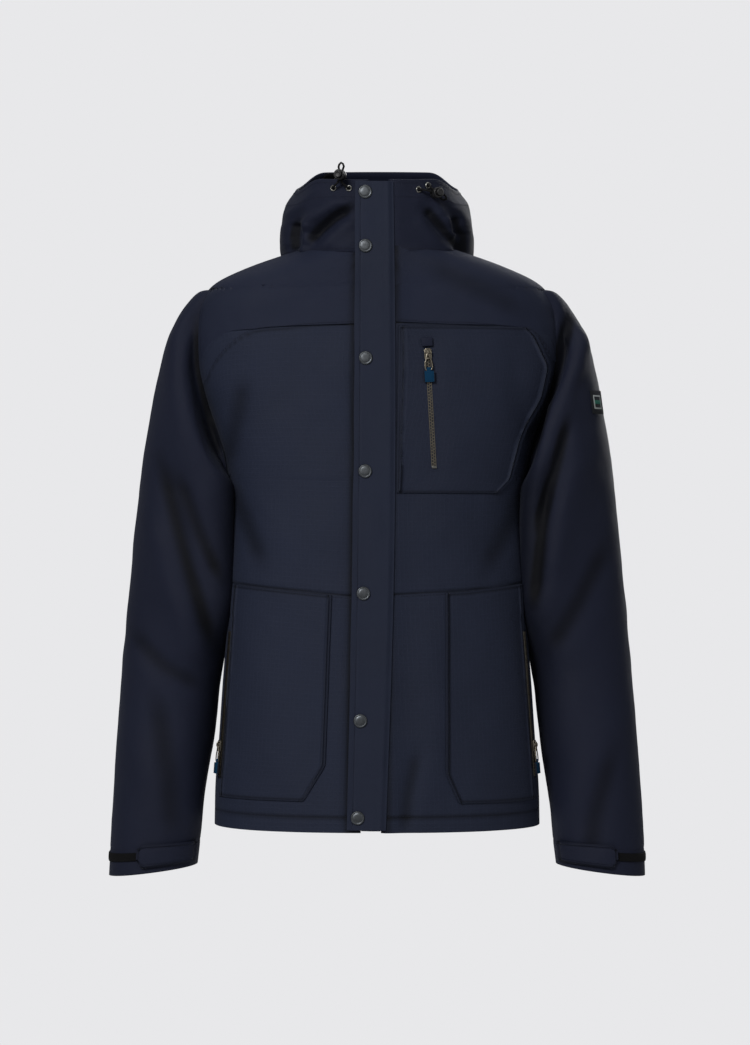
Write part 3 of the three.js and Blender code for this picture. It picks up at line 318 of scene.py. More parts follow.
def mesh_from(tool, name):
    mesh = bpy.data.meshes.new(name)
    tool.to_mesh(mesh)
    tool.free()
    return mesh


# The middle of a sleeve by height and the middle of the body front to back, in metres of the frame.
ARM_Z = [-0.715, -0.456, -0.256, -0.106]
ARM_X = [0.256, 0.235, 0.215, 0.205]
BODY_MIDDLE_Y = -0.035
WELD_GAP = 0.00004


def face_out(mesh, around_arm=0):
    """Turns the faces to look away from the body's middle or, where around_arm is -1 or 1, a sleeve's."""
    place = np.zeros(len(mesh.polygons) * 3)
    normal = np.zeros(len(mesh.polygons) * 3)
    area = np.zeros(len(mesh.polygons))
    mesh.polygons.foreach_get("center", place)
    mesh.polygons.foreach_get("normal", normal)
    mesh.polygons.foreach_get("area", area)
    away = place.reshape(-1, 3).copy()
    away[:, 0] -= around_arm * np.interp(away[:, 2], ARM_Z, ARM_X)
    away[:, 1] -= BODY_MIDDLE_Y
    away[:, 2] = 0
    if ((away * normal.reshape(-1, 3)).sum(1) * area).sum() < 0:
        mesh.flip_normals()


def sheet_mesh(name, grids, thick, around_arm=0):
    """One piece from grids of (points in garment millimetres, UV in metres, painted shade from 0 to 1), which
    are welded, turned outwards and given a thickness inwards."""
    verts, faces, uvs, depths, start = [], [], [], [], 0
    for points, uv, *crease in grids:
        rows, cols = points.shape[:2]
        verts.append(to_frame(points).reshape(-1, 3))
        index = start + np.arange(rows * cols).reshape(rows, cols)
        quads = np.stack([index[:-1, :-1], index[:-1, 1:], index[1:, 1:], index[1:, :-1]], -1)
        faces.append(quads.reshape(-1, 4))
        uvs.append(uv.reshape(-1, 2))
        depths.append((crease[0] if crease else np.zeros((rows, cols))).reshape(-1))
        start += rows * cols
    verts, faces, uvs = np.concatenate(verts), np.concatenate(faces), np.concatenate(uvs)
    mesh = bpy.data.meshes.new(name)
    mesh.from_pydata(verts.tolist(), [], faces.tolist())
    layer = mesh.uv_layers.new(name="UVMap")
    layer.data.foreach_set("uv", uvs[faces.reshape(-1)].astype(np.float32).reshape(-1))
    # Each corner's painted shade, from 0 to 1, goes into the second UV map.
    depth = np.clip(np.concatenate(depths), 0, 1)[faces.reshape(-1)]
    layer = mesh.uv_layers.new(name="crease")
    layer.data.foreach_set("uv", np.stack([depth, depth], -1).astype(np.float32).reshape(-1))
    tool = bmesh.new()
    tool.from_mesh(mesh)
    bmesh.ops.remove_doubles(tool, verts=tool.verts, dist=WELD_GAP)
    bmesh.ops.dissolve_degenerate(tool, edges=tool.edges, dist=WELD_GAP / 2)
    tool.to_mesh(mesh)
    tool.free()
    face_out(mesh, around_arm)
    piece = new_piece(name, mesh)
    solid = piece.modifiers.new("thickness", "SOLIDIFY")
    solid.thickness = thick / 1000.0
    solid.offset = -1.0
    solid.use_even_offset = False
    return bake(piece)


def bake(piece):
    """Applies a piece's modifiers."""
    bpy.context.view_layer.update()
    evaluated = piece.evaluated_get(bpy.context.evaluated_depsgraph_get())
    mesh = bpy.data.meshes.new_from_object(evaluated)
    piece.modifiers.clear()
    piece.data = mesh
    return piece


def smooth_curve(x, xs, ys):
    """Values of a smooth curve through the points, at x."""
    xs, ys = np.asarray(xs, float), np.asarray(ys, float)
    x = np.clip(np.asarray(x, float), xs[0], xs[-1])
    slope = np.gradient(ys, xs)
    i = np.clip(np.searchsorted(xs, x, side="right") - 1, 0, len(xs) - 2)
    step = xs[i + 1] - xs[i]
    t = (x - xs[i]) / step
    return ((2 * t**3 - 3 * t**2 + 1) * ys[i] + (t**3 - 2 * t**2 + t) * step * slope[i]
            + (-2 * t**3 + 3 * t**2) * ys[i + 1] + (t**3 - t**2) * step * slope[i + 1])


def noise(u, v, seed):
    """Smooth value noise from -1 to 1, the same on every run."""
    u, v = np.asarray(u, float), np.asarray(v, float)
    i, j = np.floor(u).astype(np.int64), np.floor(v).astype(np.int64)
    fu, fv = u - i, v - j
    fu, fv = fu**3 * (fu * (fu * 6 - 15) + 10), fv**3 * (fv * (fv * 6 - 15) + 10)

    def corner(a, b):
        n = (a * 374761393 + b * 668265263 + seed * 362437) & 0xFFFFFFFF
        n = ((n ^ (n >> 13)) * 1274126177) & 0xFFFFFFFF
        return ((n ^ (n >> 16)) & 0xFFFF) / 32767.5 - 1
    low = corner(i, j) * (1 - fu) + corner(i + 1, j) * fu
    high = corner(i, j + 1) * (1 - fu) + corner(i + 1, j + 1) * fu
    return low * (1 - fv) + high * fv


def step_up(x, low, high):
    """Rises smoothly from 0 at low to 1 at high."""
    t = np.clip((x - low) / (high - low), 0, 1)
    return t * t * (3 - 2 * t)


def bell(distance, width):
    return np.exp(-((distance / width) ** 2))


def signed_power(value, power):
    return np.sign(value) * np.abs(value) ** power


def run_along(points):
    """How far along a line each of its points is."""
    return np.concatenate([[0], np.cumsum(np.linalg.norm(np.diff(points, axis=0), axis=1))])


def at_run(points, run, at):
    return np.stack([np.interp(at, run, points[:, i]) for i in range(3)], -1)


def shift(x=0.0, y=0.0, z=0.0):
    return Matrix.Translation((x, y, z))


def axes_place(across, inward, up, at):
    """The place whose own X, Y and Z run along the three directions, at a point."""
    place = Matrix.Identity(4)
    for col, axis in enumerate((across, inward, up)):
        for row in range(3):
            place[row][col] = axis[row]
    place.translation = at
    return place


def put(points, place):
    place = np.array(place)
    return points @ place[:3, :3].T + place[:3, 3]


def line_distance(x, z, line):
    """Distance to a line of points, and how far along it the nearest place is, from 0 to 1."""
    best = np.full(np.shape(x), 1e9)
    where = np.zeros(np.shape(x))
    count = len(line) - 1
    for k in range(count):
        (ax, az), (bx, bz) = line[k], line[k + 1]
        dx, dz = bx - ax, bz - az
        t = np.clip(((x - ax) * dx + (z - az) * dz) / (dx * dx + dz * dz), 0, 1)
        d = np.hypot(x - ax - t * dx, z - az - t * dz)
        where = np.where(d < best, (k + t) / count, where)
        best = np.minimum(d, best)
    return best, where


def folds(x, z, lines):
    """Ridges (positive) and valleys (negative) along lines, fading at their ends."""
    total = np.zeros(np.shape(x))
    for line, height, width in lines:
        d, t = line_distance(x, z, line)
        fade = np.clip(np.minimum(t, 1 - t) * 5 + 0.25, 0, 1)
        total += height * fade * (bell(d, width) - 0.22 * bell(d - 2.1 * width, width))
    return total


def valley_shade(x, z, lines, scale=5.0):
    """Painted shade in the valleys of folds, from 0 to 1."""
    deep = [(line, -height, width * 0.75) for line, height, width in lines if height < 0]
    return np.clip(folds(x, z, deep) / scale, 0, 0.9)


def crumple(u, v, seed, size):
    """Random unevenness of soft cloth, from broad waves to small dents, in millimetres."""
    return size * (1.0 * noise(u / 88 + 0.3 * v / 130, v / 135, seed)
                   + 0.55 * noise(u / 41 - 0.4 * v / 60, v / 66, seed + 1)
                   + 0.22 * noise(u / 19 + v / 60, v / 25, seed + 2)
                   + 0.08 * noise(u / 8, v / 9, seed + 3))


# ---- The body's surface ----
# Half width and back depth at heights below the neck seam; the front leans out evenly.
LEVEL_Z = [-650, -604, -553, -493, -439, -380, -261, -195, -132, -80, -51, -30, -17, -7, 3]
LEVEL_HALF = [186, 185, 181, 177, 173, 170, 170, 186, 206, 209, 201, 180, 152, 125, 94]
LEVEL_BACK = [126, 124, 122, 120, 118, 114, 124, 126, 128, 124, 118, 109, 100, 92, 82]
MIDDLE = -8.0
POWER = 2.4
HEM = -650.0
HEM_STITCH = -633.0
LEAN = 0.06
SEAM_GAP = 0.3
SHELL_THICK = 1.3
NO_ARMHOLE = 1e4
ARMHOLE_Z = [-256, -240, -205, -172, -135, -100, -60, -41]
ARMHOLE_X = [170.4, 172, 181, 192, 201.5, 203, 199, 189]


def front_edge(z):
    return -96 + LEAN * z


def body_half(z):
    return smooth_curve(z, LEVEL_Z, LEVEL_HALF)


def arm_line(z):
    """How far out the armhole seam is, at a height."""
    line = smooth_curve(z, ARMHOLE_Z, ARMHOLE_X)
    return np.where((z < ARMHOLE_Z[0]) | (z > ARMHOLE_Z[-1]), NO_ARMHOLE, line)


def edge_of(z):
    return np.minimum(body_half(z), arm_line(z))


def at_armhole(z):
    return arm_line(z) < NO_ARMHOLE


def from_armhole(x, z):
    return np.where(at_armhole(z), np.abs(arm_line(z) - np.abs(x)), 99)


# Folds are (line of (x, z) points, height, width) in millimetres; a negative height is a valley.
BODY_FOLDS = [
    ([(-168, -262), (-150, -300), (-128, -352)], -2.4, 13),
    ([(-172, -245), (-158, -190), (-150, -150)], -2.0, 14),
    ([(168, -262), (152, -305), (120, -360)], -2.2, 14),
    ([(176, -215), (160, -170), (150, -120)], -2.6, 13),
    ([(60, -300), (95, -340), (120, -372)], 1.6, 22),
    ([(-40, -300), (-90, -330), (-140, -350)], 1.3, 24),
    ([(-150, -420), (-120, -500), (-112, -590)], 1.6, 26),
    ([(60, -420), (66, -520), (60, -640)], 1.8, 16),
    ([(44, -560), (34, -610), (30, -648)], -2.2, 9),
    ([(-34, -480), (-38, -560), (-36, -645)], 1.4, 12),
    ([(-60, -20), (-110, -45), (-165, -75)], 1.6, 18),
    ([(60, -20), (110, -42), (165, -70)], -1.8, 16),
    ([(-30, -110), (-60, -200), (-56, -300)], 0.9, 30),
]
# Lines where the cloth lies still under hard parts, each with its width.
STILL_LINES = [([(-12, -650), (-4, 70)], 26), ([(55.5, -100), (64, -252)], 13),
               ([(-166, -420), (-184, -604)], 12), ([(166, -420), (184, -604)], 12)]
WAIST = ([-185, -170, -90, -30, 26, 100, 167, 185], [-373, -374, -382, -388, -386, -382, -374, -373])
YOKE = ([-215, -192, -186, -169, -152, -98, -28, 22, 59, 113, 161, 180, 215],
        [-150, -145, -133, -112, -99, -89, -85, -83, -85, -86, -92, -96, -150])


def waist_z(x):
    return np.interp(x, *WAIST)


def yoke_z(x):
    return smooth_curve(x, *YOKE)


def calm(x, z):
    """0 where hard parts lie on the cloth, 1 away from them."""
    share = np.ones(np.shape(x))
    for line, width in STILL_LINES:
        d, _ = line_distance(x, z, line)
        share = share * (1 - np.exp(-((d / width) ** 4)))
    return share


def flap_swell(x, z, low, high):
    """How far the front stands out beside the storm flap, where several layers are sewn together."""
    beyond = np.clip(x - closure_x(z) - 23, 0, None)
    return 3.4 * bell(beyond, 15) * step_up(x - closure_x(z), low, high)


def front_relief(x, z):
    """How far the front's cloth stands out from the plain body, in millimetres."""
    still = calm(x, z)
    over = z - waist_z(x)
    hem = z - HEM_STITCH
    out = (folds(x, z, BODY_FOLDS) + crumple(x, z, 11, 1.15)) * still + flap_swell(x, z, 17, 21)
    out = out + 0.6 * np.where(over > 0, np.exp(-over / 9), 0) - 1.0 * bell(over, 1.2)
    out = out + 0.35 * noise(x / 9, z / 40, 5) * bell(over, 9) * still
    return out - 0.45 * bell(hem, 1.4) + 0.3 * noise(x / 7, 3, 6) * bell(hem, 9) * still


def back_relief(x, z):
    hem = z - HEM_STITCH
    out = folds(x, z, BACK_FOLDS) + crumple(x + 400, z, 31, 1.4)
    return out - 0.45 * bell(hem, 1.4) + 0.3 * noise(x / 7, 9, 7) * bell(hem, 9)


BACK_FOLDS = [
    ([(-165, -250), (-110, -300), (-60, -380)], -4, 16),
    ([(165, -250), (112, -295), (70, -370)], -4, 16),
    ([(-150, -180), (-120, -260), (-110, -340)], 3, 20),
    ([(150, -180), (125, -255), (112, -330)], 3, 20),
    ([(-60, -420), (-50, -520), (-64, -640)], 3.5, 20),
    ([(20, -400), (34, -520), (28, -645)], -3, 18),
    ([(90, -430), (96, -540), (88, -640)], 3, 18),
    ([(-120, -110), (-40, -130), (60, -126), (130, -108)], 2, 22),
]


def oval(turn, half, middle, front, back, power):
    """A place on an oval section and its outward direction there: x, y, nx, ny. turn is 0 in front and
    grows towards the wearer's left; half, front and back are the section's half width and depths."""
    sine, cosine = np.sin(turn), np.cos(turn)
    reach = np.where(cosine > 0, front, back)
    x = signed_power(sine, 2 / power) * half
    deep = np.abs(cosine) ** (2 / power)
    y = middle - np.sign(cosine) * deep * reach
    nx = np.sign(sine) * np.abs(x / half) ** (power - 1) / half
    ny = -np.sign(cosine) * deep ** (power - 1) / reach
    size = np.hypot(nx, ny)
    return x, y, nx / size, ny / size


def body_point(turn, z, out=0.0):
    """A point of the body's surface, out millimetres off its cloth."""
    turn, z = np.broadcast_arrays(np.asarray(turn, float), np.asarray(z, float))
    back = smooth_curve(z, LEVEL_Z, LEVEL_BACK)
    x, y, nx, ny = oval(turn, body_half(z), MIDDLE, MIDDLE - front_edge(z), back, POWER)
    cosine = np.cos(turn)
    facing = np.clip(np.abs(cosine) * 3, 0, 1)
    move = np.where(cosine > 0, front_relief(x, z), back_relief(x, z)) * facing + out
    return np.stack([x + move * nx, y + move * ny, z], -1)


def turn_at(x, z):
    """The turn that puts a front point at x."""
    share = np.clip(np.abs(x) / body_half(z), 0, 1)
    return np.sign(x) * np.arcsin(share ** (POWER / 2))


def front_point(x, z, out=0.0):
    return body_point(turn_at(x, z), z, out)


CLOSURE_TILT = 0.0119  # the main closure leans this much towards the wearer's left as it rises


def closure_x(z):
    return -12 + CLOSURE_TILT * (z - HEM)


def front_cut(side, z):
    """Where a front panel ends beside the closure."""
    return closure_x(z) + (-6.2 if side < 0 else 16.2)


def front_limit(side, z):
    """The turn at which a front ends at its armhole or, away from the armhole, at the body's side."""
    return np.where(at_armhole(z), turn_at(side * (edge_of(z) - SEAM_GAP), z), side * math.pi / 2)


def back_limit(z, gap=SEAM_GAP):
    return np.where(at_armhole(z), turn_at(arm_line(z) - gap, z), math.pi / 2)


def back_row(cols, z, gap=SEAM_GAP, out=0.0):
    """A row of points across the back, from one side or armhole to the other."""
    limit = back_limit(z, gap)
    return body_point(math.pi - limit + 2 * limit * cols, z, out)


def swept_x(turn, half):
    return signed_power(np.sin(turn), 2 / POWER) * half


def clustered(count, ends=(0.0, 0.0035, 0.009, 0.018)):
    """Shares from 0 to 1 that lie closer together at both ends, where the edges are rounded."""
    ends = np.array(ends)
    return np.concatenate([ends, np.linspace(0.032, 0.968, count), 1 - ends[::-1]])


def flat_uv(points, seed=0.0):
    """UV in metres: length along the middle row and column."""
    p = points / 1000.0
    across = np.linalg.norm(np.diff(p, axis=1), axis=2)
    u = np.concatenate([np.zeros((p.shape[0], 1)), np.cumsum(across, 1)], 1)
    u = u - u[:, p.shape[1] // 2][:, None]
    up = np.linalg.norm(np.diff(p, axis=0), axis=2).mean(1)
    v = np.concatenate([[0], np.cumsum(up)])[:, None] * np.ones((1, p.shape[1]))
    return np.stack([u + seed, v], -1)


# ---- Front and back panels and the yoke ----
def panel_rows(counts):
    """(Which band, share up it) for each row of a panel made of bands."""
    return [(band, share) for band, count in enumerate(counts)
            for share in (clustered(count) if band == 0 else clustered(count)[1:])]


def outward(points, side):
    """The right half's columns run the other way, so that both halves' faces turn the same way."""
    return points if side > 0 else points[:, ::-1]


def front_panel(name, side, material):
    cols = clustered(74)
    x_low = front_cut(side, HEM)
    nominal = x_low + (side * 186 - x_low) * cols
    boundaries = [np.full(cols.shape, HEM), waist_z(nominal), yoke_z(nominal) - SEAM_GAP]
    points = []
    for band, share in panel_rows((58, 66)):
        z = boundaries[band] + (boundaries[band + 1] - boundaries[band]) * share
        start = turn_at(front_cut(side, z), z)
        points.append(body_point(start + (front_limit(side, z) - start) * cols, z))
    points = np.array(points)
    points[-1, :, 1:] += (0.9, -0.1)
    points = outward(points, side)
    x, z = points[..., 0], points[..., 2]
    # Painted shade, from 0 to 1: seam grooves at the waist, hem and yoke, the valleys of folds, the shadow
    # beside the storm flap and the shade along the lower armhole.
    dark = 0.75 * bell(z - waist_z(x), 1.1) + 0.6 * bell(z - HEM_STITCH, 1.1)
    dark = dark + 0.55 * bell(z - yoke_z(x), 1.4)
    dark = dark + 0.8 * valley_shade(x, z, BODY_FOLDS, 3.5) * calm(x, z)
    off_flap, shadow, reach = ((closure_x(z) - 21.5 - x, 0.8, 2.0) if side < 0 else
                               (x - closure_x(z) - 27, 0.6, 1.0))
    dark = dark + shadow * np.exp(-np.clip(off_flap, 0, None) / reach)
    dark = dark + 0.65 * np.exp(-from_armhole(x, z) / 2.4) * step_up(-z, 100, 190)
    piece = sheet_mesh(name, [(points, flat_uv(points), dark)], SHELL_THICK)
    return finish_piece(piece, material, nodes=(name,))


def back_panel():
    cols = clustered(150)
    top = yoke_z(swept_x(math.pi / 2 + math.pi * cols, 190)) - SEAM_GAP
    points = np.array([back_row(cols, HEM + (top - HEM) * share) for share in clustered(130)])
    points[-1, :, 1] -= 0.9
    piece = sheet_mesh("back_panel_cloth", [(points, flat_uv(points, 3.0))], SHELL_THICK)
    return finish_piece(piece, SHELL, nodes=("back_panel",))


YOKE_TOP = 3.0


def yoke():
    """Both front yokes and the back yoke, one piece over the shoulders."""
    grids = []
    shares = clustered(30)
    for side in (-1, 1):
        cols = clustered(56)
        inner = front_cut(side, -40)
        low = yoke_z(inner + (side * 200 - inner) * cols)
        points = []
        for share in shares:
            z = low + (YOKE_TOP - low) * share
            start = turn_at(front_cut(side, z), z)
            points.append(body_point(start + (front_limit(side, z) - start) * cols, z))
        points = np.array(points)
        points[0, :, 1] += 0.6
        grids.append(outward(points, side))
    cols = clustered(112)
    low = yoke_z(swept_x(math.pi / 2 + math.pi * cols, 195))
    points = np.array([back_row(cols, low + (YOKE_TOP - low) * share) for share in shares])
    points[0, :, 1] -= 0.6
    grids.append(points)
    shaded = []
    for k, points in enumerate(grids):
        x, z = points[..., 0], points[..., 2]
        # Painted shade: along the armhole and the yoke seam, beside the storm flap and in the valleys of
        # folds on the fronts.
        dark = 0.2 * np.exp(-from_armhole(x, z) / 2.0) + 0.45 * np.exp(-np.abs(z - yoke_z(x)) / 1.3)
        if k < 2:
            off_flap = np.abs(x - closure_x(z) - 2.7) - 24.2
            dark = dark + 0.8 * np.exp(-np.clip(off_flap, 0, None) / 2.2)
            dark = dark + 0.7 * valley_shade(x, z, BODY_FOLDS, 3.5)
        shaded.append((points, flat_uv(points, 5.0 + 2 * k), dark))
    piece = sheet_mesh("shoulder_yoke_cloth", shaded, SHELL_THICK)
    return finish_piece(piece, YOKE_SHADED_CLOTH, nodes=("shoulder_yoke",))


LINING_IN = -4.2
LINING_GAP = 3


def body_lining():
    grids = []
    levels = np.linspace(HEM + 35, -12, 60)
    for side in (-1, 1):
        cols = np.linspace(0, 1, 30)
        points = []
        for z in levels:
            start = turn_at(closure_x(z) + 5 + side * 31, z)
            end = side * back_limit(z, LINING_GAP)
            points.append(body_point(start + (end - start) * cols, z, LINING_IN))
        points = outward(np.array(points), side)
        grids.append((points, flat_uv(points)))
    cols = np.linspace(0, 1, 60)
    points = np.array([back_row(cols, z, LINING_GAP, LINING_IN) for z in levels])
    grids.append((points, flat_uv(points, 2.0)))
    piece = sheet_mesh("body_lining_cloth", grids, 0.8)
    return finish_piece(piece, LINING, nodes=("body_lining",))


# ---- Sleeves ----
# A sleeve is loops from the armhole to the cuff. Each has its outer and inner point as (x, z), its depth,
# the y of its middle and how far its shape has gone from the armhole's to an oval.
OUTER = [(190, -41), (205, -43), (222, -60), (236, -84), (246, -110), (254, -142), (261, -178),
         (267, -215), (272, -255), (277, -300), (282, -350), (286, -395), (290, -440), (295, -492),
         (299, -550), (302.5, -603), (305, -655), (307, -709)]
INNER = [(170.4, -255), (171.5, -256), (172, -257), (172, -259), (172, -263), (172, -270), (172, -282),
         (172, -298), (172, -320), (172, -345), (172, -375), (173, -408), (176, -446), (181, -492),
         (187, -547), (194, -598), (200, -648), (205, -696)]
SLEEVE_DEPTH = [50, 52, 60, 65, 68, 70, 70, 69, 68, 66, 64, 62, 61, 59, 57, 55, 53, 50]
SLEEVE_MIDDLE = [-8, -3, 3, 7, 10, 12, 13, 14, 15, 15, 15, 13, 9, 4, -2, -6, -10, -14]
SHAPE_MIX = [0, 0.22, 0.5, 0.72, 0.86, 0.95, 1, 1, 1, 1, 1, 1, 1, 1, 1, 1, 1, 1]
LAST_LOOP = len(OUTER) - 1
RIGHT_SLEEVE_FOLDS = [
    ([(-246, -232), (-213, -355), (-186, -450)], -3.0, 12),
    ([(-262, -300), (-228, -390), (-196, -470)], 3.0, 18),
    ([(-225, -248), (-200, -320), (-178, -372)], -2.6, 11),
    ([(-204, -75), (-203, -130), (-190, -195), (-178, -240)], -3.2, 10),
    ([(-228, -80), (-226, -150), (-214, -230)], 2.6, 15),
    ([(-280, -430), (-240, -470), (-200, -492)], -1.6, 12),
    ([(-285, -560), (-245, -600), (-212, -660)], 1.6, 20),
    ([(-250, -500), (-236, -590), (-232, -660)], -1.5, 16),
]
LEFT_SLEEVE_FOLDS = [
    ([(222, -65), (204, -130), (186, -183), (172, -232)], -7.5, 9),
    ([(240, -80), (222, -140), (202, -200), (186, -250)], 4.5, 14),
    ([(205, -165), (196, -210), (178, -262)], 3.0, 8),
    ([(214, -190), (200, -250), (180, -310)], -4.0, 9),
    ([(196, -262), (186, -320), (178, -400)], -3.4, 9),
    ([(238, -210), (214, -300), (190, -372)], 3.0, 16),
    ([(262, -330), (226, -400), (196, -450)], -2.0, 14),
    ([(285, -520), (250, -580), (214, -640)], 1.8, 20),
    ([(268, -560), (246, -640), (240, -690)], -1.5, 14),
]
SLEEVE_BACK_FOLDS = [
    ([(250, -190), (225, -300), (190, -380)], -4, 15),
    ([(262, -330), (230, -410), (196, -470)], 4, 16),
    ([(280, -430), (240, -480), (196, -500)], -3, 13),
    ([(285, -560), (245, -620), (212, -670)], 2.5, 18),
]


SLEEVE_FOLDS = {-1: RIGHT_SLEEVE_FOLDS, 1: LEFT_SLEEVE_FOLDS}
SLEEVE_CURVES = (*zip(*OUTER), *zip(*INNER), SLEEVE_DEPTH, SLEEVE_MIDDLE, SHAPE_MIX)
SLEEVE_ROUNDNESS = 0.909
# Under the arm the sleeve's inner side lies this much further forward and nearer to the body.
INNER_FORWARD, INNER_NEARER = 44, 11
SLEEVE_AROUND = 55  # millimetres of cloth in a radian around the sleeve
BADGE_X, BADGE_Z = 247, -165


def arm_loop(count):
    """The armhole seam of the wearer's left: half its points down the front, half up the back."""
    z = np.linspace(-41, -255, 400)
    seam = turn_at(edge_of(z), z)
    over_top = np.linspace(math.pi / 2, seam[0], 40)[:-1]
    seam = np.concatenate([over_top, seam])
    z = np.concatenate([np.full(over_top.shape, z[0]), z])
    halves = []
    for turn in (seam, math.pi - seam):
        points = body_point(turn, z)
        run = run_along(points)
        halves.append(at_run(points, run, np.linspace(0, run[-1], count // 2 + 1)))
    return np.concatenate([halves[0], halves[1][::-1][1:]])


CUFF_STITCH = LAST_LOOP - 0.55
LOOP_COUNT = 96
ARM_LOOP = arm_loop(LOOP_COUNT)
LOOP_TURN = np.linspace(0, 2 * math.pi, LOOP_COUNT + 1)


def sleeve_point(side, k, turn, out=0.0):
    """A point on a sleeve, out millimetres off its cloth. k counts the loops down the arm; turn is 0
    outside and pi/2 in front."""
    k, turn = np.broadcast_arrays(np.asarray(k, float), np.asarray(turn, float))
    base = sleeve_base(k, turn)
    e = 0.02
    dk = sleeve_base(np.clip(k + e, 0, LAST_LOOP), turn) - sleeve_base(np.clip(k - e, 0, LAST_LOOP), turn)
    dt = sleeve_base(k, turn + e) - sleeve_base(k, turn - e)
    normal = np.cross(dk, dt)
    normal /= -(np.linalg.norm(normal, axis=-1, keepdims=True) + 1e-9)
    x, z = base[..., 0] * side, base[..., 2]
    facing = np.clip(-normal[..., 1] * 1.6 + 0.25, 0, 1)
    ahead = folds(x, z, SLEEVE_FOLDS[side])
    behind = folds(np.abs(x), z, SLEEVE_BACK_FOLDS)
    relief = (1.5 * ahead * facing + behind * (1 - facing)) * step_up(k, 0.0, 1.2)
    soft = step_up(k, 0, 2.0) * (1 - 0.6 * step_up(k, 16, 17))
    relief = relief + crumple(turn * SLEEVE_AROUND, z, 51 if side < 0 else 71, 1.25) * soft
    relief = relief - 0.5 * bell(k - CUFF_STITCH, 0.03)
    if side > 0:  # the sleeve lies still under its badge
        relief = relief * (1 - np.exp(-((np.hypot(x - BADGE_X, z - BADGE_Z) / 26) ** 4)) * facing)
    points = base + normal * (relief + out)[..., None]
    points[..., 0] *= side
    return points


def sleeve_base(k, turn):
    """A point on the plain sleeve without folds. The armhole's own shape fades into ovals down the arm."""
    ax, az, bx, bz, depth, middle, mix = (
        smooth_curve(k, np.arange(LAST_LOOP + 1), values) for values in SLEEVE_CURVES)
    mix = np.clip(mix, 0, 1)
    round_turn = np.mod(turn, 2 * math.pi)
    top, foot = ARM_LOOP[0], ARM_LOOP[LOOP_COUNT // 2]
    chord = (foot - top)[[0, 2]]
    span = np.hypot(*chord)
    unit = chord / span
    off = ARM_LOOP - top
    s_arm = np.interp(round_turn, LOOP_TURN, (off[:, 0] * unit[0] + off[:, 2] * unit[1]) / span)
    n_arm = np.interp(round_turn, LOOP_TURN, (-off[:, 0] * unit[1] + off[:, 2] * unit[0]) / span)
    y_arm = np.interp(round_turn, LOOP_TURN, ARM_LOOP[:, 1])
    cosine, sine = np.cos(turn), np.sin(turn)
    s_oval = (1 - signed_power(cosine, SLEEVE_ROUNDNESS)) / 2
    y_oval = middle - depth * signed_power(sine, SLEEVE_ROUNDNESS)
    forward = step_up(k, 1.0, 5.0) * (1 - step_up(k, 10.5, 13.0))
    y_oval = y_oval - INNER_FORWARD * forward * s_oval**2
    inside = INNER_NEARER * forward * s_oval**3
    s = s_arm + (s_oval - s_arm) * mix
    n = n_arm * (1 - mix)
    y = y_arm + (y_oval - y_arm) * mix
    cx, cz = bx - ax, bz - az
    x = ax + cx * s - cz * n
    z = az + cz * s + cx * n
    return np.stack([x - inside, y, z], -1)


def sleeve(name, side):
    rows = np.concatenate([np.linspace(0, 0.9, 8), np.linspace(1.0, 16.2, 128),
                           np.linspace(16.3, LAST_LOOP, 16)])
    turns = np.linspace(0, 2 * math.pi, 121)
    points = sleeve_point(side, rows[:, None], turns[None, :])
    points[:, -1] = points[:, 0]
    uv = flat_uv(points, 9.0 + side)
    x, z = points[..., 0], points[..., 2]
    # Painted shade: in the valleys of folds, at the armhole end (more so low under the arm) and along the
    # inner side from below the armhole to above the cuff, more on the wearer's left sleeve.
    ahead = np.clip(np.sin(turns) * 3, 0, 1)[None, :]
    dark = valley_shade(x, z, SLEEVE_FOLDS[side], 3.0) * ahead
    dark = dark + valley_shade(np.abs(x), z, SLEEVE_BACK_FOLDS, 6.0) * (1 - ahead)
    low_arm = step_up(-z, 70, 190)
    dark = dark + (0.2 + 0.6 * low_arm) * np.exp(-rows[:, None] / 0.3)
    inner = bell(turns - 2.7, 0.5)[None, :] * step_up(rows, 2, 6)[:, None]
    dark = dark + (0.55 if side > 0 else 0.35) * inner * (1 - step_up(rows, 13, 16))[:, None]
    piece = sheet_mesh(f"{name}_sleeve_cloth", [(points, uv, dark)], SHELL_THICK, around_arm=side)
    return finish_piece(piece, SHELL_SHADED, nodes=(f"{name}_sleeve",))


# ---- Hood ----
HOOD_Z = [-75, -59, -20, -4, 34.6, 61.6, 77]
HOOD_HALF = [54, 88, 106, 110.5, 109, 104, 94.5]
HOOD_BACK = [128, 154, 169, 172, 164, 153, 138]
HOOD_FRONT_FOLDS = [
    ([(-27, 52), (-48, 46), (-70, 36), (-88, 22)], 5.5, 8),
    ([(-29, 47), (-48, 36), (-64, 23), (-77, 10)], -9.0, 7.5),
    ([(-90, 34), (-93, 18), (-92, 2)], -11.0, 7),
    ([(-76, 18), (-84, 8), (-84, -4)], 4.0, 5),
    ([(-100, 52), (-104, 26), (-101, 4)], 3.0, 7),
    ([(-40, 66), (-66, 62), (-90, 50)], 2.0, 10),
    ([(55, 46), (66, 33), (80, 18), (95, 2)], -8.0, 6.5),
    ([(62, 44), (80, 30), (92, 12)], 3.6, 7),
    ([(88, 40), (90, 28), (92, 20)], -8.0, 5.5),
    ([(97, 26), (98, 10), (98, -2)], -8.5, 6),
    ([(84, 52), (94, 40), (98, 26)], 3.0, 6),
    ([(92, 66), (103, 40), (108, 10)], 2.4, 8),
    ([(-60, 8), (-40, 2), (-20, 4)], 1.5, 8),
]
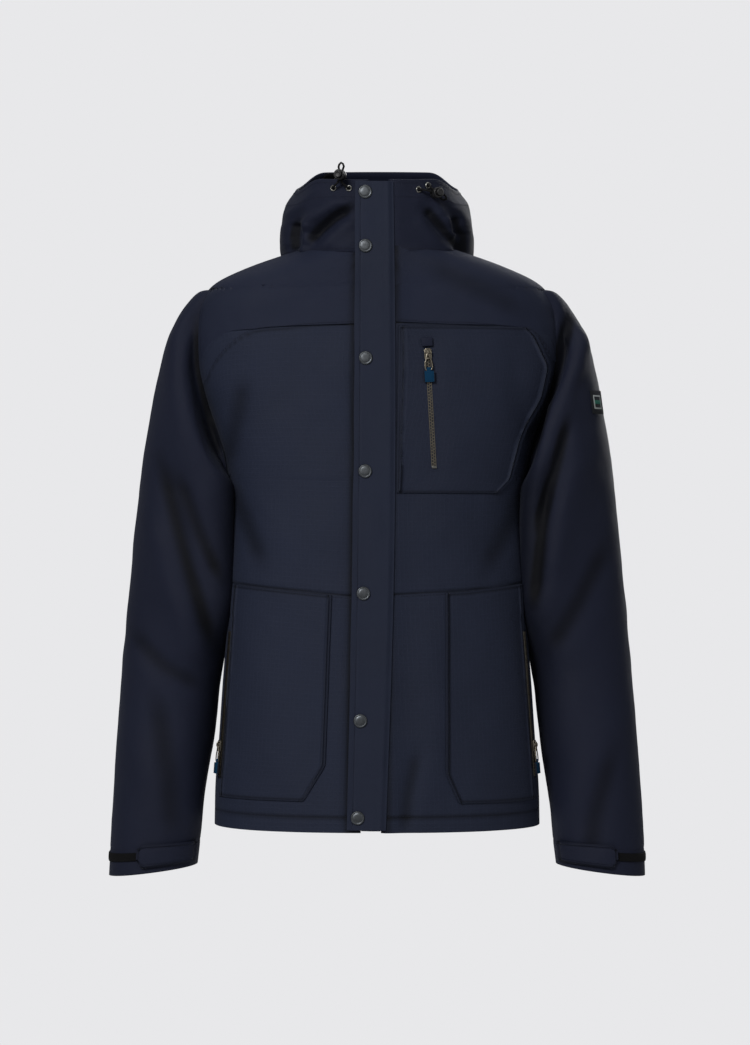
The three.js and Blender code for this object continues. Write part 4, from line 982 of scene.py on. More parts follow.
HOOD_BACK_FOLDS = [([(-80, 60), (-50, 10), (-30, -50)], -5, 12), ([(80, 60), (54, 8), (28, -48)], -5, 12),
                   ([(-40, 70), (-10, 20), (0, -60)], 4, 16), ([(30, 60), (14, 10), (10, -40)], -3, 12),
                   ([(-100, 30), (-60, -20), (-20, -64)], 4, 14), ([(100, 30), (62, -20), (24, -62)], 4, 14)]


HOOD_MIDDLE = 40.0
HOOD_POWER = 2.7
BRIM_Z = 77
BRIM_SLOPE = 0.15  # how much the brim rises towards the back
BRIM_CORNER = 17  # how far its side corners drop
EYELET_X = (-49.0, -31.4, 46.6, 57.0)
EYELET_Z = 68.5


def hood_point(turn, z, out=0.0):
    """A point on the hood or its stand-up front, out millimetres off the cloth."""
    turn, z = np.broadcast_arrays(np.asarray(turn, float), np.asarray(z, float))
    half = smooth_curve(z, HOOD_Z, HOOD_HALF)
    back = smooth_curve(z, HOOD_Z, HOOD_BACK)
    front = np.where(z < -4, -96, front_edge(z))
    x, y, nx, ny = oval(turn, half, HOOD_MIDDLE, HOOD_MIDDLE - front, back - HOOD_MIDDLE, HOOD_POWER)
    facing = np.clip(-ny * 1.5 + 0.35, 0, 1)
    edge = 1 - 0.75 * step_up(z, 62, BRIM_Z)
    still = step_up(np.abs(x - 4), 20, 34)
    for eyelet_x in EYELET_X:
        still = still * (1 - 0.95 * np.exp(-(((x - eyelet_x) / 8) ** 2 + ((z - EYELET_Z) / 8) ** 2)))
    relief = folds(x, z, HOOD_FRONT_FOLDS) * facing * edge * still
    relief = relief + folds(x, z, HOOD_BACK_FOLDS) * (1 - facing) * edge
    relief = relief + crumple(x * 1.4 + y, z * 1.3, 91, 0.9) * still * edge
    swell = flap_swell(x, z, 14, 18) * np.clip(np.cos(turn) * 3, 0, 1) * (z > -10)
    move = relief + out + swell
    slope = BRIM_SLOPE * step_up(z, 34, BRIM_Z)
    corner = BRIM_CORNER * step_up(np.abs(x), 60, 96) ** 1.5 * step_up(z, 40, BRIM_Z)
    return np.stack([x + move * nx, y + move * ny, z + slope * (y - front) - corner], -1)


def hood_turns(count):
    """Turns around the hood from one front edge to the other, past the opening between them."""
    left, right = (math.asin((gap / HOOD_HALF[-1]) ** (HOOD_POWER / 2)) for gap in (13, 10))
    return left + (2 * math.pi - left - right) * np.linspace(0, 1, count)


def swing_from_front(turns):
    return np.abs(np.where(turns > math.pi, 2 * math.pi - turns, turns))


def step_degrees(turns, low, high):
    return step_up(turns, math.radians(low), math.radians(high))


def hood():
    turns = hood_turns(240)
    swing = swing_from_front(turns)
    low = -7 - 68 * step_degrees(swing, 92, 125)
    under = hood_point(turns, low)
    inward = np.stack([0.55 * under[:, 0], np.minimum(under[:, 1], 108.0), under[:, 2] - 4.0], -1)
    flat = step_degrees(swing, 98, 125)
    rows = [under + (inward - under) * (flat * (1 - pull))[:, None] for pull in (0.0, 0.35, 0.7, 0.9)]
    for share in np.concatenate([[0, 0.004, 0.012], np.linspace(0.03, 0.9, 62), np.linspace(0.915, 1.0, 12)]):
        rows.append(hood_point(turns, low + (BRIM_Z - low) * share))
    lip = rows[-1]
    toward = np.array([0, 20.0, 0]) - lip
    toward[:, 2] = 0
    toward /= np.linalg.norm(toward, axis=1)[:, None]
    for inset, lift in ((0.6, 0.7), (1.7, 0.9), (2.7, 0.5), (3.2, -0.6)):
        rows.append(lip + toward * inset + np.array([0, 0, lift]))
    for height in (72, 66, 61):
        rows.append(hood_point(turns, height, -3.4))
    points = np.array(rows)
    x, z = points[..., 0], points[..., 2]
    # Painted shade: in the valleys of folds and along the seam low on the hood's front.
    ahead = (np.cos(turns) > -0.1)[None, :]
    dark = np.where(ahead, valley_shade(x, z, HOOD_FRONT_FOLDS), valley_shade(x, z, HOOD_BACK_FOLDS, 16.0))
    dark = dark + 0.45 * np.exp(-np.abs(z + 6.5) / 2.0) * ahead
    piece = sheet_mesh("hood_cloth", [(points, flat_uv(points, 15.0), dark)], 0.9)
    return finish_piece(piece, HOOD_SHADED_CLOTH, nodes=("hood",))


def hood_lining():
    """The black lining. It comes up to the brim only at the one place where the photo shows it."""
    turns = hood_turns(150)
    seen = step_degrees(turns, 192, 199) * (1 - step_degrees(turns, 214, 224))
    top = 64 + 12.6 * seen
    low = -6 - 40 * step_degrees(swing_from_front(turns), 110, 140)
    points = np.array([hood_point(turns, low + (top - low) * share, -4.6 - 0.2 * seen)
                       for share in np.linspace(0, 1, 36)])
    piece = sheet_mesh("hood_lining_cloth", [(points, flat_uv(points, 21.0))], 0.7)
    return finish_piece(piece, LINING, nodes=("hood_lining",))


# ---- Front closure ----
# The closure's own frame, with its foot at the hem and its Z up the zip.
CLOSURE = (shift(-12, -135, HEM) @ Matrix.Rotation(-math.atan(LEAN), 4, "X")
           @ Matrix.Rotation(CLOSURE_TILT, 4, "Y"))
CLOSURE_LENGTH = 727 / math.cos(math.atan(LEAN))
TO_FRAME = Matrix.Scale(0.001, 4) @ Matrix.Translation((0, -45.5, -6))


def closure_points(u, out, up):
    """Points beside the closure's middle, off the front and up from the hem."""
    u, out, up = np.broadcast_arrays(np.asarray(u, float), np.asarray(out, float), np.asarray(up, float))
    return put(np.stack([u, -out, up], -1), CLOSURE)


FLAP_FOOT, FLAP_TOP = 3.0, CLOSURE_LENGTH - 2
FLAP_OUT = 6.9  # how far the flap's cloth stands off the closure
FLAP_RIM = 6  # how far in from its free edge it is stitched
SNAP_REACH = 17  # how far a snap holds the flap flat around itself
SNAP_SHARES = [0.983, 0.899, 0.725, 0.55, 0.362, 0.167, 0.019]


def bow(share):
    return np.sin(np.pi * share)


def flap_left(share):
    return -21.5 + 2.5 * bow(share)


def flap_right(share):
    return 21 + 6 * bow(share)


def snap_places():
    return [(-10 + 4 * math.sin(math.pi * s), FLAP_FOOT + s * (FLAP_TOP - FLAP_FOOT)) for s in SNAP_SHARES]


def storm_flap():
    shares = clustered(210, (0.0, 0.001, 0.0025, 0.005))
    cols = np.array([0, 0.012, 0.03, 0.06, 0.1, 0.14, 0.17, 0.2, 0.26, 0.33, 0.4, 0.48, 0.56, 0.64, 0.71,
                     0.77, 0.82, 0.86, 0.89, 0.92, 0.945, 0.965, 0.982, 1.0])
    s, c = np.meshgrid(shares, cols, indexing="ij")
    up = FLAP_FOOT + s * (FLAP_TOP - FLAP_FOOT)
    left = flap_left(s) + 0.5 * noise(s * 14, 2, 3)
    right = flap_right(s) + 0.8
    u = left + (right - left) * c
    near = np.zeros(s.shape)
    for _, place in snap_places():
        near = np.maximum(near, bell(up - place, SNAP_REACH))
    out = FLAP_OUT + 1.1 * (1 - near) * np.exp(-((u - left) / 12)) * (0.75 + 0.5 * noise(up / 45, 1, 4))
    out = out + 0.55 * noise(u / 17 + up / 90, up / 48, 8) * (1 - near) * step_up(c, 0, 0.3)
    out = out - 0.45 * bell(u - left - FLAP_RIM, 0.9)
    sunk = step_up(u, right - 7, right - 1.0)
    out = out * (1 - sunk) + (4.7 + 0.25 * noise(up / 8, 5, 9)) * sunk
    out = out - 0.4 * bell(u - right + 9.5, 0.9)
    points = closure_points(u, out, up)
    piece = sheet_mesh("storm_flap_cloth", [(points, flat_uv(points, 30.0))], 1.6)
    rounding = piece.modifiers.new("round", "BEVEL")
    rounding.width = 0.00045
    rounding.segments = 2
    rounding.limit_method = "ANGLE"
    rounding.angle_limit = math.radians(50)
    bake(piece)
    finish_piece(piece, PLACKET, body=None, nodes=("storm_flap", "flap_seam"))
    start = to_frame(closure_points(24.5, 6.5, 360))
    end = to_frame(closure_points(12, 6.5, 360))
    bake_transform(piece)
    return piece


def turned(name, profile, place, surface, body, nodes=(), steps=40):
    """A round part from a closed profile of (radius, height), standing along its place's own -Y axis."""
    tool = bmesh.new()
    rings = []
    for radius, height in profile:
        if radius < 1e-6:
            rings.append([tool.verts.new((0, -height, 0))])
        else:
            rings.append([tool.verts.new((radius * math.cos(a), -height, radius * math.sin(a)))
                          for a in np.linspace(0, 2 * math.pi, steps, endpoint=False)])
    for low, high in zip(rings, rings[1:]):
        for i in range(steps):
            j = (i + 1) % steps
            if len(low) == 1 and len(high) == 1:
                continue
            if len(low) == 1:
                tool.faces.new((low[0], high[i], high[j]))
            elif len(high) == 1:
                tool.faces.new((low[i], high[0], low[j]))
            else:
                tool.faces.new((low[i], high[i], high[j], low[j]))
    bmesh.ops.remove_doubles(tool, verts=tool.verts, dist=1e-5)
    bmesh.ops.recalc_face_normals(tool, faces=tool.faces)
    mesh = mesh_from(tool, name)
    mesh.transform(TO_FRAME @ place)
    return finish_piece(new_piece(name, mesh), surface, body, nodes)


def rounded(name, size, place, surface=None, body=None, nodes=(), bevel=0.4, steps=3):
    """A block with rounded edges, in garment millimetres. Without a surface it is left unfinished."""
    tool = bmesh.new()
    bmesh.ops.create_cube(tool, size=1.0)
    for v in tool.verts:
        v.co = Vector((v.co.x * size[0], v.co.y * size[1], v.co.z * size[2]))
    bmesh.ops.bevel(tool, geom=tool.edges[:], offset=bevel, segments=steps, affect="EDGES", profile=0.5)
    mesh = mesh_from(tool, name)
    mesh.transform(TO_FRAME @ place)
    piece = new_piece(name, mesh)
    if surface is not None:
        finish_piece(piece, surface, body, nodes)
    return piece


def joined(name, pieces, place):
    """Several loose pieces as one, moved to a place in garment millimetres."""
    tool = bmesh.new()
    for piece in pieces:
        tool.from_mesh(piece.data)
        bpy.data.objects.remove(piece)
    mesh = mesh_from(tool, name)
    mesh.transform(TO_FRAME @ place @ TO_FRAME.inverted())
    return new_piece(name, mesh)


def tube(name, points, radius, closed=False, sides=12, flat=1.0):
    """A round or flattened rod along points in garment millimetres."""
    points = [Vector(p) for p in points]
    count = len(points)
    tool = bmesh.new()
    rings = []
    normal = None
    for i, point in enumerate(points):
        before = points[(i - 1) % count] if closed or i else point
        after = points[(i + 1) % count] if closed or i < count - 1 else point
        along = (after - before).normalized()
        if normal is None:
            normal = along.orthogonal().normalized()
            if abs(along.y) < 0.7:
                normal = (Vector((0, 1, 0)) - along * along.y).normalized()
        normal = (normal - along * normal.dot(along)).normalized()
        side = along.cross(normal)
        rings.append([
            tool.verts.new(point + normal * radius * flat * math.cos(a) + side * radius * math.sin(a))
            for a in np.linspace(0, 2 * math.pi, sides, endpoint=False)])
    pairs = list(zip(rings, rings[1:])) + ([(rings[-1], rings[0])] if closed else [])
    for low, high in pairs:
        for i in range(sides):
            j = (i + 1) % sides
            tool.faces.new((low[i], low[j], high[j], high[i]))
    if not closed:
        tool.faces.new(rings[0][::-1])
        tool.faces.new(rings[-1])
    bmesh.ops.recalc_face_normals(tool, faces=tool.faces)
    mesh = mesh_from(tool, name)
    mesh.transform(TO_FRAME)
    return new_piece(name, mesh)


# Profiles of (radius, height off the front): the cap with its post and socket, and the stud under it.
SNAP_CAP = [(0, 3.6), (5.3, 3.6), (5.5, 3.8), (5.5, 4.7), (5.2, 4.9), (2.4, 4.9), (2.4, 7.3), (6.9, 7.3),
            (7.4, 7.4), (7.6, 7.7), (7.6, 8.1), (7.35, 8.6), (6.9, 8.95), (6.45, 9.05), (6.1, 8.95),
            (5.85, 8.75), (5.5, 8.75), (5.1, 8.95), (4.3, 9.15), (3.2, 9.26), (1.6, 9.3), (0, 9.3)]
SNAP_STUD = [(0, 0.2), (5.0, 0.2), (5.2, 0.4), (5.2, 0.8), (5.0, 1.0), (2.6, 1.05), (2.0, 1.3), (2.0, 1.9),
             (2.4, 2.4), (2.35, 2.8), (1.9, 3.2), (0, 3.3)]


def snaps():
    for k, (x, z) in enumerate(snap_places(), 1):
        place = CLOSURE @ shift(x=x, z=z)
        for part, profile, body, steps in (("cap", SNAP_CAP, "storm_flap", 48),
                                           ("stud", SNAP_STUD, "root", 32)):
            name = f"snap_{part}_{k}"
            turned(f"{name}_metal", profile, place, GUNMETAL, body, (name,), steps)


# ---- Zips ----
TOOTH_TAPER = 0.62  # a tooth's width as a share of the chain's, and its outer end as a share of its pitch


def teeth(name, low, high, place, wide, pitch, height, face, surface, nodes=()):
    """Two rows of interlocking teeth, each along its own cord, standing off the tape from face."""
    tool = bmesh.new()
    count = int((high - low) / pitch)
    for i in range(count):
        z = low + (i + 0.5) * pitch
        side = 1 if i % 2 else -1
        made = bmesh.ops.create_cube(tool, size=1.0)["verts"]
        for v in made:
            outer = v.co.x * side > 0
            spread = TOOTH_TAPER if outer else 1.0
            rise = 0.8 if v.co.y < 0 else 1.0
            v.co = Vector((v.co.x * wide * TOOTH_TAPER + side * wide * 0.2,
                           face + height / 2 + v.co.y * height * rise, z + v.co.z * pitch * 0.9 * spread))
    for side in (-1, 1):
        made = bmesh.ops.create_cube(tool, size=1.0)["verts"]
        for v in made:
            v.co = Vector((v.co.x * 0.9 + side * wide * 0.46, face + height * 0.75 + v.co.y * height * 0.5,
                           (low + high) / 2 + v.co.z * (high - low)))
    mesh = mesh_from(tool, name)
    mesh.transform(TO_FRAME @ place)
    return finish_piece(new_piece(name, mesh), surface, "root", nodes, smooth=False)


def zip_tape(name, low, high, place, width, node):
    z, x = np.meshgrid(np.linspace(low, high, 60), np.linspace(-width / 2, width / 2, 9), indexing="ij")
    y = -1.25 + 0.2 * (np.abs(x) / (width / 2)) ** 2
    points = put(np.stack([x, y, z], -1), place)
    piece = sheet_mesh(name, [(points, flat_uv(points))], 0.6)
    return finish_piece(piece, TAPE, "root", (node,))


def small_slider(name, place, body):
    plate = rounded("a", (8.4, 1.5, 11), shift(y=-4.1), bevel=0.5)
    nose = rounded("b", (6.2, 1.3, 4), shift(y=-4.6, z=4.4), bevel=0.5)
    over = [(0, -4.7, 4.6), (0, -6.4, 3.9), (0, -7.1, 2.2), (0, -7.1, 0.2), (0, -6.4, -1.6), (0, -4.7, -2.4)]
    arch = tube("c", over, 0.85, sides=10)
    ears = [rounded("e", (1.1, 2.4, 3.2), shift(side * 3.4, -5.6, 1), bevel=0.35) for side in (-1, 1)]
    return finish_piece(joined(name, [plate, nose, arch, *ears], place), BRASS, body, (body,))


def ring_outline(width, length, steps=44):
    """A keyhole loop that hangs from its bar: narrow at the top, round at the foot."""
    points = []
    for a in np.linspace(0, 2 * math.pi, steps, endpoint=False):
        c, s = math.cos(a), math.sin(a)
        down = (1 - c) / 2
        half = width / 2 * (0.42 + 0.58 * step_up(down, 0.05, 0.75))
        half *= math.sqrt(max(0.0, 1 - (2 * down - 1) ** 8))
        side = (s > 1e-6) - (s < -1e-6)
        points.append((half * side, 0, 0.2 - length * down))
    return points


TAB_Z = -25.4
HINGE_OUT = 5.7  # how far a puller's hinge stands off its zip


def puller(name, place, body, tab_name, tab_nodes):
    """A keyhole ring on its bar, with a webbing tab looped through it."""
    ring = tube("ring", ring_outline(8.2, 18.6), 0.85, closed=True, sides=10, flat=0.75)
    bar = tube("bar", [(-2.3, 0, 0), (2.3, 0, 0)], 0.55, sides=10)
    bridge = tube("bridge", [(-2.4, 0, -5.2), (2.4, 0, -5.2)], 0.8, sides=10)
    finish_piece(joined(name, [ring, bar, bridge], place), BRASS, body, (body,))
    tab = rounded("tab", (11.6, 2.1, 12.6), shift(z=TAB_Z), bevel=0.7)
    neck = rounded("neck", (5.2, 1.5, 5), shift(z=-17.6), bevel=0.5)
    edges = [rounded("f", (0.9, 2.3, 12.2), shift(side * 5.7, 0, TAB_Z), bevel=0.3) for side in (-1, 1)]
    finish_piece(joined(tab_name, [tab, neck], place), BLUE, body, tab_nodes)
    finish_piece(joined(tab_name + "_edges", edges, place), TAPE, body, ())


def zip_place(hinge, across, up):
    """The zip's own frame at its slider, in garment millimetres, from the puller's hinge in the frame's
    metres."""
    across, up = Vector(across).normalized(), Vector(up).normalized()
    inward = up.cross(across).normalized()
    return axes_place(across, inward, up, Vector(hinge) * 1000 + Vector(ORIGIN) + inward * HINGE_OUT)


def pocket_zip(name, place, low, high, teeth_low, teeth_high, chain_nodes=(), tab_nodes=()):
    """One pocket zip: tape, teeth, slider and puller. name is "chest" or, say, "left_side"."""
    zip_tape(f"{name}_zip_tape_weave", low, high, place, 11.4, f"{name}_zip_tape")
    teeth(f"{name}_zip_teeth", teeth_low, teeth_high, place, 5.0, 1.65, 1.5, -3.1, BRASS, chain_nodes)
    if name == "chest":
        rounded("chest_zip_stop", (5.4, 2.2, 2.6), place @ shift(y=-2.6, z=-126.6), NICKEL, "root")
    small_slider(f"{name}_slider_metal", place, f"{name}_zip_slider")
    puller(f"{name}_puller_ring", place @ shift(y=-HINGE_OUT), f"{name}_zip_puller", f"{name}_pull_tab",
           tab_nodes)


def pocket_zips():
    chest = zip_place((0.056822, -0.152395, -0.124366), (0.992672, 0.109491, 0.05112),
                      (-0.056195, 0.043779, 0.99746))
    pocket_zip("chest", chest, -129.5, 12.5, -125.5, 6, ("chest_zip_chain",), ("chest_zip_tab",))
    garage = rounded("chest_zip_garage", (12.5, 3.4, 10), chest @ shift(y=-3.6, z=13.5), bevel=1.3, steps=4)
    finish_piece(garage, SHELL_SHADED, "root")
    for name, side in (("right_side", -1), ("left_side", 1)):
        place = zip_place((side * 0.179642, -0.102758, -0.56493),
                          (0.389343, side * 0.921067, side * 0.006863),
                          (-side * 0.072347, 0.023152, 0.997111))
        pocket_zip(name, place, -36.5, 132.5, -34, 130)


def main_zip():
    top = CLOSURE_LENGTH - 6
    place = CLOSURE @ shift(x=5)
    zip_tape("main_zip_tape_weave", 2, top, place @ shift(y=2.4), 21.4, "main_zip_tape")
    teeth("main_zip_teeth", 15, top - 5, place, 6, 2.6, 2.1, -1.5, BLACK, ("main_zip_chain",))
    rounded("main_zip_retainer", (9, 2.5, 12), place @ shift(y=-0.6, z=8), BLACK, "root", ("main_zip_box",),
            0.7)
    head = top - 12
    plate = rounded("p", (11.6, 1.5, 15.6), shift(y=-2.6, z=head), bevel=0.6)
    over = [(0, -3.0, head + 6), (0, -3.9, head + 5), (0, -4.0, head + 1), (0, -3.3, head - 2)]
    bridge = tube("b", over, 0.6)
    pull = rounded("q", (4.8, 0.8, 29), shift(y=-3.75, z=head - 10.6), bevel=0.3)
    slider = joined("main_slider_metal", [plate, bridge, pull], place)
    finish_piece(slider, BRASS, "main_zip_slider", ("main_zip_slider",))
    share, across = np.meshgrid(np.linspace(0, 1, 120), np.linspace(0, 1, 12), indexing="ij")
    up = 3 + share * (CLOSURE_LENGTH - 8)
    u = 2 + (across - 0.5) * 42
    points = closure_points(u, -5.6 - 0.35 * noise(up / 40, u / 20, 14), up)
    piece = sheet_mesh("under_placket_cloth", [(points, flat_uv(points, 40.0))], 1.2)
    finish_piece(piece, SHELL_SHADED, nodes=("under_placket",))


# ---- Pockets and topstitching ----
STITCHES = {}  # the stitches on each body, each as its start, middle and end
STITCH_PITCH, STITCH_LENGTH, THREAD_RADIUS = 3.3, 2.2, 0.26
POCKET_RIM = 2.4  # how far in from a pocket's edge it is stitched
HIP_TOP = -386.0


def stitch_line(points, body="root"):
    """Topstitching along a line of surface points, in garment millimetres."""
    run = run_along(points)
    for start in np.arange(1.0, run[-1] - STITCH_LENGTH, STITCH_PITCH):
        ends = at_run(points, run, start + np.array([0, STITCH_LENGTH / 2, STITCH_LENGTH]))
        STITCHES.setdefault(body, []).append(ends)


def pocket(name, left, right, z_low, z_high, surface, corners, free_left):
    """A patch on the front between two edges given as x at each height. Its free edge is rounded and its
    other edge is sewn into a seam; corners are (x, z) points that its stitches run between."""
    rows = clustered(int((z_high - z_low) / 4.5), (0.0, 0.004, 0.011, 0.022))
    cols = clustered(26, (0.0, 0.006, 0.018, 0.034))
    z = (z_low + (z_high - z_low) * rows)[:, None] * np.ones((1, len(cols)))
    edge_low, edge_high = left(z[:, 0]), right(z[:, 0])
    x = edge_low[:, None] + (edge_high - edge_low)[:, None] * cols
    if z_high == HIP_TOP:  # a hip pocket's top follows the waist seam
        z = z_low + (waist_z(x) - 1.2 - z_low) * rows[:, None]
    across = (cols if free_left else 1 - cols) * (edge_high - edge_low)[:, None]
    along = (np.minimum(rows, 1 - rows) * (z_high - z_low))[:, None]
    rim = np.minimum(across, along)
    lift = 1.75 + 0.35 * np.exp(-rim / 3.0) - 0.45 * bell(rim - POCKET_RIM, 0.8)
    lift = lift + 1.3 * np.clip(rim / 45, 0, 1) * calm(x, z) * (0.6 + 0.4 * noise(x / 40, z / 50, 17))
    points = front_point(x, z, np.where(rim < 0.2, 0.9, lift))
    # Painted shade: along the stitch line and at the patch's edge.
    dark = 0.6 * bell(rim - POCKET_RIM, 0.7) + 0.7 * np.exp(-rim / 0.5)
    piece = sheet_mesh(f"{name}_cloth", [(points, flat_uv(points), dark)], 0.85)
    finish_piece(piece, surface, nodes=(name,))
    pocket_stitches(corners)


def pocket_stitches(corners):
    share = np.linspace(0, 1, 60)
    for (ax, az), (bx, bz) in zip(corners, corners[1:]):
        stitch_line(front_point(ax + (bx - ax) * share, az + (bz - az) * share, 1.6))


def edge_line(heights, xs):
    return lambda z: np.interp(z, heights, xs)


def pockets():
    chest_right = edge_line([-274, -272, -258, -215, -190, -165, -130, -96, -87],
                            [134, 138, 152, 163, 176, 188, 196, 180, 170])
    pocket("chest_pocket", lambda z: closure_x(z) + 28.8, chest_right, -274.0, -87.0, SHELL_LEFT_SHADED,
           [(25, -271.4), (134, -271.4), (149.5, -257), (160.5, -215), (170, -194)], True)
    pocket_stitches([(49, -105), (57, -250), (71, -249), (63, -104), (49, -105)])
    pocket("right_hip_pocket", edge_line([-616, -386], [-178.0, -162]),
           edge_line([-616, -614, -576, -388], [-83, -80, -57, -50]), -616.0, HIP_TOP, SHELL,
           [(-52.6, -392), (-59.5, -576.5), (-82, -613.4), (-171, -613.4)], False)
    pocket("left_hip_pocket", edge_line([-619, -617, -586, -388], [92, 90, 76, 76]),
           edge_line([-619, -386], [178.0, 162]), -619.0, HIP_TOP, SHELL_LEFT_SHADED,
           [(78.6, -391), (78.6, -586), (93, -616.4), (171, -616.4)], True)


def seam_stitches():
    """Topstitching that follows the main seams, a little off the cloth."""
    off = 0.1
    share = np.linspace(0, 1, 240)
    for side in (-1, 1):
        start = closure_x(-85) + (-22 if side < 0 else 30)
        x = start + (side * 196 - start) * share
        x = x[np.abs(x) < edge_of(yoke_z(x) + 3) - 2]
        stitch_line(front_point(x, yoke_z(x) + 3, off))
        x = start + (side * 176 - start) * share
        x = x[np.abs(x) < body_half(waist_z(x)) - 1]
        stitch_line(front_point(x, waist_z(x) - 3, off))
        x = (closure_x(HEM_STITCH) + (-8 if side < 0 else 18)) + (side * 184 - closure_x(HEM_STITCH)) * share
        x = x[np.abs(x) < body_half(HEM_STITCH) - 1]
        stitch_line(front_point(x, HEM_STITCH + 1, off))
        z = np.linspace(-62, -250, 160)
        stitch_line(front_point(side * (arm_line(z) - 3.2), z, off))
        stitch_line(sleeve_point(side, CUFF_STITCH, np.linspace(0, 2 * math.pi, 140), off)[:-1])
    back = np.linspace(math.pi * 0.56, math.pi * 1.44, 300)
    stitch_line(body_point(back, HEM_STITCH + 1, off))
    stitch_line(body_point(back, yoke_z(swept_x(back, 190)) + 3, off))
    turns = hood_turns(400)
    for height in (73.6, 58.0):
        stitch_line(hood_point(turns, height, off))
    for part in (turns[turns < math.radians(80)], turns[turns > math.radians(280)]):
        for height in (-3.6, 0.4):
            stitch_line(hood_point(part, height, off))
    up = np.linspace(8, CLOSURE_LENGTH - 6, 300)
    share = (up - FLAP_FOOT) / (FLAP_TOP - FLAP_FOOT)
    stitch_line(closure_points(flap_left(share) + FLAP_RIM, 7.15, up), "storm_flap")
    stitch_line(closure_points(flap_right(share) - 1.4, 3.4, up), "flap_root")


def build_stitches():
    """All the stitches on one body as one piece of thread. The flap's sewn edge stays on the root."""
    sides = 6
    around = [(math.cos(a), math.sin(a)) for a in np.linspace(0, 2 * math.pi, sides, endpoint=False)]
    for body, runs in STITCHES.items():
        verts, faces = [], []
        for ends in runs:
            along = ends[2] - ends[0]
            along /= np.linalg.norm(along) + 1e-9
            normal = np.cross(along, [0.0, 1.0, 0.0] if abs(along[1]) < 0.9 else [1.0, 0.0, 0.0])
            normal /= np.linalg.norm(normal) + 1e-9
            other = np.cross(along, normal)
            base = len(verts)
            for way, swell in ((0.0, 0.45), (0.25, 1.0), (0.75, 1.0), (1.0, 0.45)):
                centre = ends[0] * (1 - way) + ends[2] * way
                verts += [centre + (normal * c + other * s) * THREAD_RADIUS * swell for c, s in around]
            for ring in range(3):
                for i in range(sides):
                    a, b = base + ring * sides + i, base + ring * sides + (i + 1) % sides
                    faces.append((a, b, b + sides, a + sides))
            faces.append(tuple(base + i for i in reversed(range(sides))))
            faces.append(tuple(base + 3 * sides + i for i in range(sides)))
        mesh = bpy.data.meshes.new(f"stitching_{body}")
        mesh.from_pydata(to_frame(np.array(verts)).tolist(), [], faces)
        piece = new_piece(f"stitching_{body}", mesh)
        finish_piece(piece, THREAD, "root" if body == "flap_root" else body)


# ---- Cuffs ----
TAB_NEAR, TAB_FAR = 0.355, 0.955  # the cuff tab's free and sewn ends as shares of the sleeve's front
TAB_MIDDLE = 16.6  # the loop that the tab lies along
TAB_LENGTH, TAB_WIDTH = 62, 26  # about what the camera sees of it
TAB_RIM = 2.4  # how far in from its edge it is stitched


def front_turn(share):
    """The turn at a share of the sleeve's width across its front, from its outer edge to its inner one."""
    return np.arccos(np.clip(1 - 2 * share, -1, 1))


def cuff_tab(name, side):
    """The strap with its chamfered free end, which stands a little further off the sleeve than the rest."""
    across = clustered(40, (0.0, 0.008, 0.02, 0.04))
    rows = clustered(12, (0.0, 0.03, 0.07, 0.12))
    turn = front_turn(TAB_NEAR + (TAB_FAR - TAB_NEAR) * across)
    at_end = 1 - step_up(across, 0.0, 0.13)
    bottom = 16.86 - 0.17 * at_end
    top = 16.36 + 0.06 * across + 0.12 * at_end
    k = bottom + (top - bottom) * rows[:, None]
    rim = np.minimum(np.minimum(across, 1 - across)[None, :] * TAB_LENGTH,
                     np.minimum(rows, 1 - rows)[:, None] * TAB_WIDTH)
    lift = 2.6 + 0.3 * np.exp(-rim / 2.5) - 0.4 * bell(rim - TAB_RIM, 0.8)
    lift = lift + 0.8 * (1 - step_up(across, 0.0, 0.5))[None, :]
    # Painted shade: at the strap's edge and along its stitch line.
    dark = 0.6 * np.exp(-rim / 0.7) + 0.45 * bell(rim - TAB_RIM, 0.7)
    points = sleeve_point(side, k, turn, lift)
    piece = sheet_mesh(f"{name}_cuff_tab_cloth", [(points, flat_uv(points), dark)], 1.5, around_arm=side)
    finish_piece(piece, SHELL_SHADED, None, (f"{name}_cuff_tab",))
    sewn, free = (to_frame(sleeve_point(side, TAB_MIDDLE, front_turn(share), 2.0)) for share in (0.945, 0.87))
    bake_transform(piece)
    for row in (0.1, 0.9):
        k = bottom + (top - bottom) * row
        stitch_line(sleeve_point(side, k[4:-15], turn[4:-15], 3.0), f"{name}_cuff_tab")


def cuff_band(name, side):
    """The loop tape that the tab's free end grips."""
    rows = np.linspace(0, 1, 7)[:, None]
    turns = np.linspace(-0.5, front_turn(0.62), 46)
    points = sleeve_point(side, 16.70 - 0.18 * rows, turns, 1.6 - 0.5 * (np.abs(rows - 0.5) * 2) ** 4)
    piece = sheet_mesh(f"{name}_cuff_band_tape", [(points, flat_uv(points))], 0.9, around_arm=side)
    finish_piece(piece, LOOPS, "root", (f"{name}_cuff_band",))


def cuff_facing(name, side):
    """The lining just inside the sleeve's end."""
    k = np.linspace(LAST_LOOP, 16.1, 12)[:, None]
    points = sleeve_point(side, k, np.linspace(0, 2 * math.pi, 90), -2.3)
    points[:, -1] = points[:, 0]
    piece = sheet_mesh(f"{name}_cuff_facing", [(points, flat_uv(points))], 0.5, around_arm=side)
    finish_piece(piece, LINING, "root", ())


